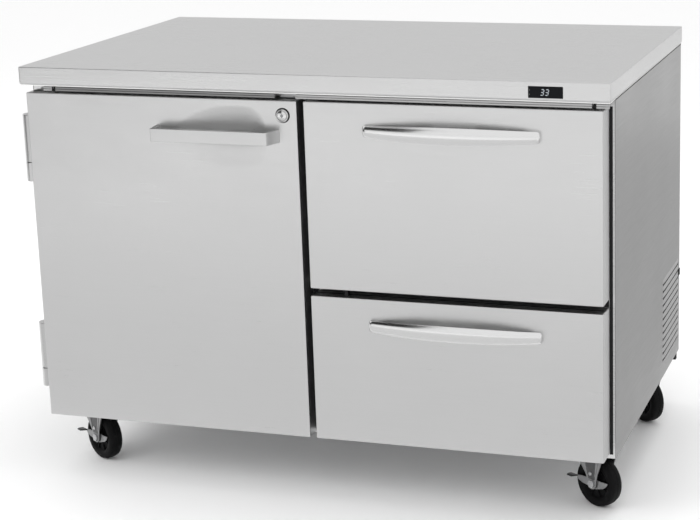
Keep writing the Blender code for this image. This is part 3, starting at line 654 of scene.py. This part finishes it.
def make_front_trim():
    """Black strips of painted shade where the frame shows between the fronts, strips above them in painted
    shade, stops, top seams and side strips of painted light.
    """
    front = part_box("front_frame")[0].y
    door_low, door_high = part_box("door_skin")
    upper_low, upper_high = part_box("upper_drawer_skin")
    lower_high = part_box("lower_drawer_skin")[1]
    # Painted shade: black strips on the frame's face where it shows between the fronts and beside the
    # drawers, standing for the shade in those gaps.
    gap_shades = ((door_high.x + 0.0005, upper_low.x - 0.0005, door_low.z, door_high.z + 0.002),
             (upper_high.x + 0.0008, upper_high.x + 0.0075, door_low.z, door_high.z),
             (upper_low.x, upper_high.x, lower_high.z + 0.0005, upper_low.z - 0.0005))
    rubber_strips("front_gap_painted_shade", [((x0, front - 0.0004, z0), (x1, front - 0.00005, z1))
                                      for x0, x1, z0, z1 in gap_shades])
    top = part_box("worktop")[0].z
    face = door_low.y
    # Painted shade: the strip above the door gets the darker band grey, the drawers' strips a lighter one.
    for label, spans, metal in (("door", DOOR_LIPS, DOOR_BAND_PAINTED_SHADE), ("drawer", DRAWER_LIPS, DRAWER_BAND_PAINTED_SHADE)):
        mesh = bmesh.new()
        for x0, x1 in spans:
            extrude(mesh, [(face + a, top - b) for a, b in DRIP_LIP], x0, x1, lambda a, b, d: (d, a, b))
        piece(f"{label}_drip_lip", mesh, metal, "cabinet", "front_steel", smooth=30)
    plastic_blocks("front_stops", [((x - 0.0035, face + 0.012, top - 0.0126),
                                    (x + 0.0035, face + 0.022, top + 0.0008)) for x in STOPS_X])
    bumper = ((BUMPER_X[0], face + 0.008, lower_high.z - 0.0004),
              (BUMPER_X[1], face + 0.018, upper_low.z - 0.0009))
    plastic_blocks("drawer_bumper", [bumper], "lower_drawer")
    for body in FRONTS:
        low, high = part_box(f"{body}_skin")
        seam = ((low.x + 0.004, low.y + 0.0235, high.z - 0.0004),
                (high.x - 0.004, low.y + 0.0262, high.z + 0.0003))
        rubber_strips(f"{body}_top_seam", [seam], body)
    for body in FRONTS[1:]:
        low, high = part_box(f"{body}_skin")
        # Painted light: a matte grey strip over the drawer's steel right return, in its lit tone.
        lit_return = ((high.x - 0.0004, low.y + 0.0012, low.z + 0.0015),
                (high.x + 0.0004, front - 0.0015, high.z - 0.0015))
        box_piece(f"{body}_return_painted_light", [lit_return], RETURN_PAINTED_LIGHT, body, "front_steel", bevel=0.0003)


def make_seams():
    """A dark joint where the worktop meets the sides, a filter behind the side louvres, and corner feet."""
    low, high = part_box("right_side_panel")
    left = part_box("left_side_panel")[0]
    rubber_strips("worktop_seams", [((x - 0.0005 + out, low.y, high.z - 0.0014),
                                     (x + 0.0004 + out, high.y, high.z + 0.0002))
                                    for x, out in ((high.x, 0.0), (left.x, 0.0001))])
    mat = ((low.x - 0.0045, high.y - 0.212, low.z + 0.028), (low.x - 0.002, high.y - 0.012, low.z + 0.222))
    plastic_blocks("louvre_filter", [mat])
    feet = [((x, high.y - 0.014, low.z - 0.022), (x + 0.012, high.y - 0.001, low.z - 0.0004))
            for x in (left.x + 0.004, high.x - 0.016)]
    plastic_blocks("rear_corner_feet", feet, bevel=0.002)


def even(low, high, count):
    return [low + (high - low) * k / (count - 1) for k in range(count)]


def make_gaskets():
    for body in FRONTS:
        name = f"{body}_gasket"
        low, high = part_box(name)
        thick = high.y - low.y
        wide = 0.012
        folds = [(0.0, 0.0), (0.0, 0.32), (0.0016, 0.45), (0.0, 0.6), (0.0, 0.88), (0.0006, 1.0)]
        profile = [(a, low.y + thick * b) for a, b in folds]
        profile += [(wide - a, y) for a, y in reversed(profile)]
        mesh = bmesh.new()
        swept_frame(mesh, (low.x, high.x), (low.z, high.z), profile)
        piece(f"{name}_seal", mesh, RUBBER, body, "gasket_rubber", (name,), 30)


# Door and drawers


def door_dish():
    low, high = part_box("door_skin")
    return Dish((low.x + 0.4615, high.z - 0.0755))


def carved(mesh, cutter):
    """The mesh with a cutter taken out of it."""
    made = []
    for source in (mesh, cutter):
        bmesh.ops.recalc_face_normals(source, faces=source.faces)
        made.append(object_from("carving", source))
    cut = made[0].modifiers.new("cut", "BOOLEAN")
    cut.operation = "DIFFERENCE"
    cut.object = made[1]
    result = bmesh.new()
    graph = bpy.context.evaluated_depsgraph_get()
    result.from_object(made[0], graph)
    for item in made:
        data = item.data
        bpy.data.objects.remove(item)
        bpy.data.meshes.remove(data)
    return result


def lock_cutter(centre, top):
    """The barrel's bore, and the slot in the top return that the cam swings up through."""
    cutter = bmesh.new()
    turn(cutter, band(0, 0.0103, -0.01, 0.03), centre, (0, 1, 0), 32)
    add_box(cutter, (centre.x - 0.030, centre.y + 0.0355, top - 0.005),
            (centre.x + 0.009, centre.y + 0.0425, top + 0.005))
    return cutter


def front_pan(name, body, dish=None):
    low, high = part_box(name)
    mesh = sheet_pan((low.x, high.x), (low.z, high.z), high.y - low.y, lambda a, b, d: (a, low.y + d, b),
                     edge=0.0018, corner=0.0026, flange=0.016, dish=dish)
    if dish:
        mesh = carved(mesh, lock_cutter(Vector((LOCK_X, low.y, LOCK_Z)), high.z))
    piece(f"{name}_sheet", mesh, FRONT_STEEL, body, "front_steel", (name,), 40, True)


LINER_INSET = 0.014           # a liner's edge inside the edge of its core
LINER_LIP = 0.0012


def inner_panel(core, body, x, z, back_y):
    """The pale moulded liner behind the door: a rounded step up to its border, and a shallow sunk middle."""
    low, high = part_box(core)
    rings = [inset_ring((low.x, high.x), (low.z, high.z), LINER_INSET, y, 0.006)
             for y in (high.y - LINER_LIP, high.y)]
    for inset, share in ((0.0, 0.0), (0.002, 0.55), (0.005, 0.9), (0.009, 1.0)):
        rings.append(inset_ring(x, z, inset, high.y + (back_y - high.y) * share, 0.02))
    for inset, sink in ((0.06, 0.0), (0.066, 0.0025)):
        rings.append(inset_ring(x, z, inset, back_y - sink, 0.015))
    mesh = bmesh.new()
    loft(mesh, rings)
    piece(f"{core}_liner", mesh, PALE_PLASTIC, body, "rigid_foam", (core,), 35, True)


def strap(mesh, path, height, tall, thick, radius):
    """A flat strap with rounded edges along a level path of (x, y) stations."""
    rings = []
    for k, (x, y) in enumerate(path):
        before = path[max(k - 1, 0)]
        beyond = path[min(k + 1, len(path) - 1)]
        along = Vector((beyond[0] - before[0], beyond[1] - before[1])).normalized()
        inward = Vector((-along.y, along.x))
        section = outline(-tall / 2, tall / 2, 0.0, thick, radius, 2, 3)
        rings.append([(x + inward.x * b, y + inward.y * b, height + a) for a, b in section])
    loft(mesh, rings)


def make_door_handle():
    """A flat bar that stands off the door; its left end turns back sharply, its right end at a slant."""
    low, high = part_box("door_handle")
    bend, thick, rounding = 0.002, 0.0085, 0.0009
    left_flare, right_flare, margin = 0.004, 0.013, 0.02
    face = low.y

    def end(edge, inward, flare):
        """One bent end, from the door's face out to the flat of the bar."""
        shares = (0, 0.25, 0.5, 0.75, 0.93)
        run = [(edge + inward * flare * t, high.y - 0.0005 + (face - high.y) * t) for t in shares]
        run.append((edge + inward * (flare + bend * 0.3), face + bend * 0.25))
        return run + [(edge + inward * (flare + bend), face)]

    path = end(low.x, 1, left_flare)
    path += [(x, face) for x in even(low.x + left_flare + margin, high.x - right_flare - margin, 6)]
    path += reversed(end(high.x, -1, right_flare))
    mesh = bmesh.new()
    strap(mesh, path, (low.z + high.z) / 2, high.z - low.z, thick, rounding)
    piece("door_handle_bar", mesh, HANDLE_METAL, "door", "handle_metal", ("door_handle",), 25, True)


def make_bow(name, body):
    """A cast bow handle: thin rounded ends on the face, swelling and rising to its middle."""
    low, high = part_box(name)
    centre_x, centre_z = (low.x + high.x) / 2, (low.z + high.z) / 2
    half, out = (high.x - low.x) / 2, high.y - low.y
    mesh = bmesh.new()
    rings = []
    steps = 44
    for k in range(steps + 1):
        t = math.sin(math.pi * (k / steps - 0.5))
        x = centre_x + half * t
        swell = 1 - t * t
        tall = 0.0112 + 0.0048 * swell
        end = max(1 - ((abs(t) - 0.965) / 0.035) ** 2, 0.0) ** 0.5 if abs(t) > 0.965 else 1.0
        tall *= 0.62 + 0.38 * end
        rise = 0.010 + (out - 0.013) * (1 - abs(t) ** 2.2) ** 0.9
        front = high.y - rise * (0.7 + 0.3 * end)
        leg = abs(t) ** 9
        back = min(front + 0.0065 + 0.02 * leg, high.y)
        ring = []
        crown = 0.0022 + 0.001 * swell
        for step in range(9):
            s = -1 + 2 * step / 8
            ring.append((x, front + crown * s * s + 0.0009 * abs(s) ** 8, centre_z + tall * s))
        ring += [(x, (front + back) / 2 + 0.0008, centre_z + tall * 0.985), (x, back, centre_z + tall * 0.8),
                 (x, back, centre_z - tall * 0.8), (x, (front + back) / 2 + 0.0008, centre_z - tall * 0.985)]
        rings.append(ring)
    loft(mesh, rings)
    piece(f"{name}_bow", mesh, BOW_METAL, body, "handle_metal", (name,), 40)


def make_lock():
    centre = Vector((LOCK_X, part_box("lock_cylinder")[0].y, LOCK_Z))

    def rounds(*profiles):
        mesh = bmesh.new()
        for profile, steps in profiles:
            turn(mesh, profile, centre, (0, 1, 0), steps)
        return mesh

    mesh = rounds(([(0, 0.0012), (0.0088, 0.001), (0.0096, 0.0014), (0.0099, 0.006), (0, 0.006)], 48),
                  ([(0.0108, 0.0006), (0.0116, 0.0), (0.0126, 0.0004), (0.013, 0.0015), (0.013, 0.0058),
                    (0.0108, 0.0058)], 48),
                  (band(0, 0.0098, 0.006, 0.042), 32))
    add_box(mesh, centre + Vector((-0.037, 0.0425, -0.006)), centre + Vector((0.006, 0.0455, 0.006)))
    piece("lock_barrel", mesh, CHROME, "lock", "lock_chrome", ("lock_cylinder",), 40)
    mesh = rounds((band(0.0099, 0.0108, 0.0028, 0.005), 48), (band(0, 0.0032, 0.0008, 0.0012), 24))
    add_box(mesh, centre + Vector((-0.0006, 0.0004, -0.0045)), centre + Vector((0.0006, 0.0013, 0.0045)))
    piece("lock_keyway", mesh, CASTER_STEEL, "lock", "lock_chrome", smooth=40)
    mesh = rounds(([(0.0131, 0.0048), (0.0147, 0.0052), (0.0152, 0.0062), (0.0131, 0.0062)], 48))
    piece("lock_ring", mesh, RUBBER, "door", "gasket_rubber", smooth=40)


def hinge_block(mesh, low, high, axis_x, axis_y, radius, plate):
    """A hinge leaf with a round knuckle between two runs of plate corners, and rounded ends."""
    shape = plate[0] + arc(axis_x, axis_y, radius, 270, 90, 12) + plate[1]
    middle_x = sum(a for a, _ in shape) / len(shape)
    middle_y = sum(b for _, b in shape) / len(shape)
    wide = max(a for a, _ in shape) - min(a for a, _ in shape)
    edge, steps = 0.0016, 3
    quarter = [math.pi / 2 * k / steps for k in range(steps + 1)]
    levels = [(a, low + edge * (1 - math.cos(a))) for a in quarter]
    levels += [(a, high - edge * (1 - math.cos(a))) for a in reversed(quarter)]
    rings = []
    for angle, z in levels:
        share = 1 - 2 * edge * (1 - math.sin(angle)) / wide
        rings.append([(middle_x + (a - middle_x) * share, middle_y + (b - middle_y) * share, z)
                      for a, b in shape])
    loft(mesh, rings)


def make_hinges():
    for level in ("upper", "lower"):
        low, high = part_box(f"{level}_hinge_leaf")
        radius = 0.014
        axis_x, axis_y = low.x + radius, low.y + radius
        pin = (axis_x, axis_y, 0)
        mesh = bmesh.new()
        hinge_block(mesh, low.z, high.z, axis_x, axis_y, radius,
                    ([(high.x, axis_y + 0.010), (high.x, low.y)],
                     [(axis_x + 0.005, high.y), (axis_x + 0.008, axis_y + 0.010)]))
        turn(mesh, [(0, high.z - 0.0015), (0.0052, high.z - 0.0015), (0.0052, high.z + 0.0004),
                    (0.004, high.z + 0.0012), (0, high.z + 0.0012)], pin, UP, 24)
        piece(f"{level}_hinge_leaf_cover", mesh, HINGE_METAL, "door", "hinge_metal",
              (f"{level}_hinge_leaf",), 35, True)
        c_low, c_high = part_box(f"{level}_hinge_bracket")
        seam = low.z - 0.0006
        mesh = bmesh.new()
        hinge_block(mesh, c_low.z, seam, axis_x, axis_y, radius,
                    ([(c_high.x, axis_y - 0.011)], [(axis_x, axis_y + radius), (axis_x + 0.0005, c_high.y),
                                                  (c_high.x, c_high.y)]))
        turn(mesh, band(0, 0.005, seam - 0.004, c_high.z), pin, UP, 24)
        piece(f"{level}_hinge_bracket_cover", mesh, HINGE_METAL, "cabinet", "hinge_metal",
              (f"{level}_hinge_bracket",), 35, True)
        mesh = bmesh.new()
        turn(mesh, band(0.0055, 0.0132, seam - 0.0001, low.z + 0.0001), pin, UP, 32)
        piece(f"{level}_hinge_washer", mesh, BLACK_PLASTIC, "cabinet", "fan_plastic")
        spots = [(axis_x - 0.0006, c_high.y - back, (c_low.z + seam) / 2) for back in (0.012, 0.030)]
        screws(f"{level}_hinge_screws", spots, (-1, 0, 0), 0.004, ZINC, "cabinet", "zinc_steel")


def make_fronts():
    front_pan("door_skin", "door", door_dish())
    low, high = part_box("door_core")
    inner_panel("door_core", "door", (low.x + 0.034, high.x - 0.030), (low.z + 0.036, high.z - 0.030),
                high.y + 0.010)
    for level in ("upper", "lower"):
        body = f"{level}_drawer"
        front_pan(f"{level}_drawer_skin", body)
        low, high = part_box(f"{body}_core")
        mesh = bmesh.new()
        loft(mesh, [inset_ring((low.x, high.x), (low.z, high.z), LINER_INSET, y, 0.005)
                    for y in (high.y - LINER_LIP, high.y)])
        piece(f"{body}_core_liner", mesh, PALE_PLASTIC, body, "rigid_foam", (f"{body}_core",), 35)
        make_bow(f"{body}_handle", body)
        finish_node(f"{body}_box", LINER_METAL)
        low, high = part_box(f"{body}_box")
        inset = 0.0092
        rim = outline(low.x + inset, high.x - inset, low.y + 0.001, high.y - 0.001, 0.006, 3, 4)
        mesh = bmesh.new()
        tube_along(mesh, [(a, b, high.z - 0.0018) for a, b in rim], 0.0018, 8, True)
        piece(f"{body}_box_rim", mesh, LINER_METAL, body, "liner_aluminium")
        for side in ("left", "right"):
            finish_node(f"{level}_slide_{side}", ZINC, 0.0008)


# Inside


def make_shelf():
    """Coated wires: a rim, two bars across and thinner wires from front to back."""
    low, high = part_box("wire_shelf")
    thick, thin = 0.0024, 0.0016
    z = low.z + thick
    mesh = bmesh.new()
    rim = outline(low.x + thick, high.x - thick, low.y + thick, high.y - thick, 0.008, 3, 4)
    tube_along(mesh, [(a, b, z) for a, b in rim], thick, 8, True)
    for y in even(low.y + 0.15, high.y - 0.15, 2):
        tube_along(mesh, [(low.x + thick, y, z), (high.x - thick, y, z)], thick, 8)
    for x in even(low.x + 0.02, high.x - 0.02, 25):
        tube_along(mesh, [(x, low.y + thick, z + 0.0012), (x, high.y - thick, z + 0.0012)], thin, 6)
    piece("shelf_wires", mesh, WIRE, "cabinet", "shelf_wire", ("wire_shelf",), 50)


PLAIN_NODES = (
    (PANEL_STEEL_PAINTED_SHADE, "left_side_panel", "right_side_panel", "back_panel", "rear_grille"),
    (FOAM, "cabinet_insulation"),
    (LINER_METAL, "cabinet_liner", "evaporator_cover", "left_shelf_ledge", "right_shelf_ledge"),
    (ZINC, "base_pan", "drawer_rail_frame", "condensing_unit_tray", "condenser_fan_shroud"),
    (COIL, "condenser_coil", "evaporator_coil"),
    (BLACK_PLASTIC, "condenser_fan_blade", "evaporator_fan_blade", "power_cord_gland"),
    (CASTER_STEEL, "left_caster_channel", "right_caster_channel"),
)


def make_inside():
    for material, *names in PLAIN_NODES:
        for name in names:
            finish_node(name, material)
    finish_node("compressor", BLACK_PAINT, 0.001)
    finish_node("lock_strike", ZINC, 0.0005)
    make_shelf()
    low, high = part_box("evaporator_cover")
    blade_low, blade_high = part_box("evaporator_fan_blade")
    middle = (blade_low + blade_high) / 2
    mesh = bmesh.new()
    for radius in (0.018, 0.034, 0.050, 0.066, 0.080):
        ring = [(middle.x + radius * math.cos(a), low.y - 0.0022, middle.z + radius * math.sin(a))
                for a in (2 * math.pi * k / 40 for k in range(40))]
        tube_along(mesh, ring, 0.0014, 6, True)
    for k in range(4):
        angle = math.pi * k / 4
        reach = Vector((math.cos(angle), 0, math.sin(angle))) * 0.082
        centre = Vector((middle.x, low.y - 0.0008, middle.z))
        tube_along(mesh, [centre - reach, centre + reach], 0.0014, 6)
    piece("evaporator_fan_guard", mesh, WIRE, "cabinet", "shelf_wire", smooth=50)
    spots = [(x, low.y, z) for x in (low.x + 0.012, high.x - 0.012) for z in (low.z + 0.012, high.z - 0.012)]
    screws("evaporator_screws", spots, (0, -1, 0), 0.004, ZINC, "cabinet", "zinc_steel")


# Casters


def make_casters():
    for joint in frame["joints"]:
        if joint["name"].endswith("_swivel"):
            swivel = Vector(joint["pos_m"])
            name = joint["name"][:-len("_swivel")]
            spin = next(j for j in frame["joints"] if j["name"] == f"{name}_wheel_spin")
            make_caster(name, swivel, Vector(spin["pos_m"]), Vector(spin["axis"]).normalized())


def make_caster(name, swivel, centre, axle):
    """Wheel, stamped fork and, on the front pair, a brake lever; forward runs from the swivel to the axle."""
    forward = axle.cross(UP).normalized()
    if forward.dot(centre - swivel) < 0:
        forward = -forward
    near = -axle if axle.y > 0 else axle

    def local(along, z, out):
        """A point along the wheel from the axle's middle, at height z, and out along the axle."""
        point = centre + forward * along + near * out
        return (point.x, point.y, z)

    make_wheel(name, centre, near)
    make_fork(name, swivel, local)
    if f"{name}_brake_lever" in NODES:
        make_lever(name, local, centre.z)


def make_wheel(name, centre, near):
    radius, half = centre.z, 0.0158
    tread = [(radius - 0.0042, half - 0.0012), (radius - 0.0016, half - 0.0034),
             (radius - 0.0004, half - 0.0075), (radius, half - 0.0115), (radius, 0.0008),
             (radius - 0.0007, 0.0)]
    side = [(0.0058, half - 0.001), (0.0105, half - 0.001), (0.0125, half - 0.0025),
            (0.0135, half - 0.0058), (0.0300, half - 0.0072), (0.0325, half - 0.0045),
            (0.0345, half - 0.0018), (0.0375, half - 0.0008), (0.0420, half - 0.0006)]
    profile = side + tread + [(r, -h) for r, h in reversed(side + tread[:-1])]
    mesh = bmesh.new()
    turn(mesh, profile, centre, near, 72)
    across = near.cross(UP).normalized()
    ribs = 8
    rib = ((0.012, half - 0.0085), (0.012, half - 0.0035), (0.034, half - 0.0042), (0.034, half - 0.0085))
    for k in range(ribs):
        angle = 2 * math.pi * (k + 0.5) / ribs
        out = across * math.cos(angle) + UP * math.sin(angle)
        wide = near.cross(out) * 0.0013
        for face in (1, -1):
            ring = [centre + out * r + near * h * face for r, h in rib]
            loft(mesh, [[p - wide for p in ring], [p + wide for p in ring]])
    piece(f"{name}_wheel_tyre", mesh, WHEEL_RUBBER, f"{name}_caster_wheel", "wheel_rubber",
          (f"{name}_wheel",), 38)
    mesh = bmesh.new()
    for face in (1, -1):
        turn(mesh, band(0.0058, 0.0098, half * face, (half - 0.003) * face), centre, near, 32)
    piece(f"{name}_hub_bushes", mesh, CASTER_STEEL, f"{name}_caster_wheel", "caster_steel")


AXLE_Z = 0.051


def make_fork(name, swivel, local):
    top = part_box(f"{name}_fork")[1].z
    body = f"{name}_caster_fork"
    offset = (Vector((swivel.x, swivel.y, 0)) - Vector(local(0, 0, 0))).length
    mesh = bmesh.new()
    dome = [(0.0075, top - 0.0072), (0.030, top - 0.0072), (0.0325, top - 0.0066), (0.0328, top - 0.0035),
            (0.0305, top - 0.0012), (0.024, top - 0.0002), (0.0075, top - 0.0002)]
    turn(mesh, dome, (swivel.x, swivel.y, 0), UP, 48)
    cheek = [(-0.029 - offset, top - 0.0025), (-0.0275 - offset, top - 0.012), (-0.0185, 0.072),
             (-0.0115, 0.058)]
    cheek += arc(0, AXLE_Z, 0.0115, 180, 360, 10)
    cheek += [(0.0115, 0.058), (0.0155, 0.072), (0.0245, top - 0.014), (0.0255, top - 0.0025)]
    for out in (0.020, -0.023):
        extrude(mesh, cheek, out, out + 0.003, local)
    rib = [(-0.031, top - 0.006), (-0.0215, 0.082), (-0.0145, 0.069), (-0.0105, 0.069), (-0.0135, 0.082),
           (-0.0215, top - 0.006)]
    for shape in (rib, [(-0.45 * a + 0.004, b) for a, b in rib]):
        extrude(mesh, shape, 0.0229, 0.0243, local)
    piece(f"{name}_fork_stamping", mesh, CASTER_STEEL, body, "caster_steel", (f"{name}_fork",), 35, False,
          0.0009, 2)
    inset = [(-0.0195, top - 0.006), (-0.0125, 0.083), (-0.0095, 0.068), (-0.0085, 0.061), (0.0085, 0.061),
             (0.0088, 0.068), (0.0085, 0.083), (0.0115, top - 0.006)]
    mesh = bmesh.new()
    extrude(mesh, inset, 0.0229, 0.0236, local)
    piece(f"{name}_fork_inset", mesh, DARK_STEEL, body, "caster_steel", (), 35, False, 0.0003, 2)
    mesh = bmesh.new()
    middle = Vector(local(0, AXLE_Z, 0))
    axis = Vector(local(0, AXLE_Z, 1)) - middle
    bolt = [(0, -0.0275), (0.0042, -0.0275), (0.005, -0.0268), (0.005, 0.0262), (0.0042, 0.027), (0, 0.027)]
    turn(mesh, bolt, middle, axis, 24)
    for start, end in ((0.0231, 0.0262), (-0.0262, -0.0231)):
        turn(mesh, band(0, 0.0086, start, end), middle, axis, 6)
    turn(mesh, [(0, 0.0228), (0.0042, 0.0228), (0.0042, 0.0245), (0.003, 0.0256), (0, 0.0256)],
         Vector(local(-0.003, AXLE_Z + 0.021, 0)), axis, 20)
    piece(f"{name}_axle_bolt", mesh, ZINC, body, "zinc_steel", smooth=35)


def make_lever(name, local, axle_z):
    """A pressed rocker with two wings, and a foot pad bent out at its end."""
    shape = [(-0.046, 0.006), (-0.030, 0.0085), (-0.013, 0.009), (-0.007, 0.0115), (0.004, 0.012),
             (0.012, 0.009), (0.024, 0.0085), (0.040, 0.0095), (0.036, 0.002), (0.027, -0.005),
             (0.015, -0.0085), (0.006, -0.0115), (-0.006, -0.0115), (-0.014, -0.0085), (-0.030, -0.0065),
             (-0.042, -0.002)]
    mesh = bmesh.new()
    extrude(mesh, [(a, b + axle_z) for a, b in shape], 0.0166, 0.0186, local)
    piece(f"{name}_lever_plate", mesh, CASTER_STEEL, f"{name}_brake", "caster_steel",
          (f"{name}_brake_lever",), 35, False, 0.0006, 2)
    pad_middle, pad_thick, steps = -0.0525, 0.0028, 8
    mesh = bmesh.new()
    rings = []
    for k in range(steps + 1):
        t = k / steps
        lift = axle_z + 0.0058 + 0.0022 * math.sin(t * math.pi / 2)
        half = 0.0095 * (1 - 0.35 * t ** 3)
        corners = ((-half, 0), (half, 0), (half, -pad_thick), (-half, -pad_thick))
        rings.append([local(pad_middle + a, lift + b, 0.0170 + 0.0165 * t) for a, b in corners])
    loft(mesh, rings)
    piece(f"{name}_lever_pad", mesh, BLACK_PAINT, f"{name}_brake", "caster_steel", (), 35, False, 0.0007, 2)


# Stage


def make_stage():
    mesh = bmesh.new()
    bmesh.ops.create_grid(mesh, x_segments=2, y_segments=2, size=30)
    floor = object_from("floor", mesh)
    floor.data.materials.append(principled("floor_white", greys(0.96), 0.0, 0.75)[0])

    world = bpy.data.worlds.new("studio")
    bpy.context.scene.world = world
    world.use_nodes = True
    background = world.node_tree.nodes["Background"]
    background.inputs["Color"].default_value = (1, 1, 1, 1)
    background.inputs["Strength"].default_value = 1.0
    area_light("key", (-2.6, -3.4, 3.4), (0, 0, 0.5), 2.6, 60)
    area_light("top", (0.6, 0.4, 3.6), (0, 0, 0.8), 2.2, 30)
    grey_card("overhead_card", (-1.5, -1.0, 3.2), (0, 0, 0.8), (1.5, 1.1), 0.42)
    grey_card("left_card", (-2.1, -2.7, 1.75), (0, -0.4, 0.7), (1.15, 0.85), 0.01)
    grey_card("left_low_card", (-2.2, -1.25, 0.66), (0.15, -0.4, 0.75), (0.60, 0.42), 0.03)
    grey_card("front_floor_card", (-0.5, -1.45, 0.02), (-0.5, -1.45, 1.0), (2.0, 0.9), 0.80)
    grey_card("back_card", (-1.3, 4.2, 1.9), (0, 0, 0.9), (4.5, 1.5), 0.74)
    grey_card("right_floor_card", (2.1, 1.2, 0.02), (2.1, 1.2, 1.0), (1.4, 2.4), 0.66)
    grey_card("right_card", (3.4, 4.2, 0.7), (0.6, 0, 0.4), (2.4, 0.7), 0.8)


def aim(item, place, target, front):
    """Puts an item in its place and turns its front axis to the target."""
    item.location = place
    item.rotation_euler = (Vector(target) - Vector(place)).to_track_quat(front, "Y").to_euler()


def grey_card(name, place, target, size, grey):
    """A card that shows only in reflections, like a photographer's flag."""
    mesh = bmesh.new()
    bmesh.ops.create_grid(mesh, x_segments=1, y_segments=1, size=1)
    card = object_from(name, mesh)
    card.scale = (*size, 1)
    aim(card, place, target, "Z")
    material, shader = principled(f"{name}_grey", (0, 0, 0), 0.0, 1.0)
    glow(shader, greys(grey), 1.0)
    shader.inputs["Specular IOR Level"].default_value = 0.0
    card.data.materials.append(material)
    card.visible_camera = False
    card.visible_shadow = False
    card.visible_diffuse = False


def area_light(name, place, target, size, energy):
    light = bpy.data.lights.new(name, "AREA")
    light.shape = "DISK"
    light.size = size
    light.energy = energy
    lamp = in_scene(name, light)
    aim(lamp, place, target, "-Z")
    lamp.visible_glossy = False


LENS = 92.9
SHIFT = (-0.14, -0.08)
CAMERA_PLACE = (1.3042, -3.5732, 1.4455)
CAMERA_TURN = (76.493, 1.295, 17.006)      # degrees


def make_camera():
    """Front right, a little above the worktop, with a shift for the framing."""
    data = bpy.data.cameras.new("camera")
    data.lens = LENS
    data.sensor_width = 36.0
    data.shift_x, data.shift_y = SHIFT
    camera = in_scene("camera", data)
    camera.location = CAMERA_PLACE
    camera.rotation_euler = [math.radians(angle) for angle in CAMERA_TURN]
    bpy.context.scene.camera = camera
    bpy.context.scene.view_settings.view_transform = "Standard"


make_camera()
make_stage()
make_worktop()
make_display()
make_panels()
make_front_trim()
make_seams()
make_gaskets()
make_fronts()
make_door_handle()
make_lock()
make_hinges()
make_inside()
make_casters()
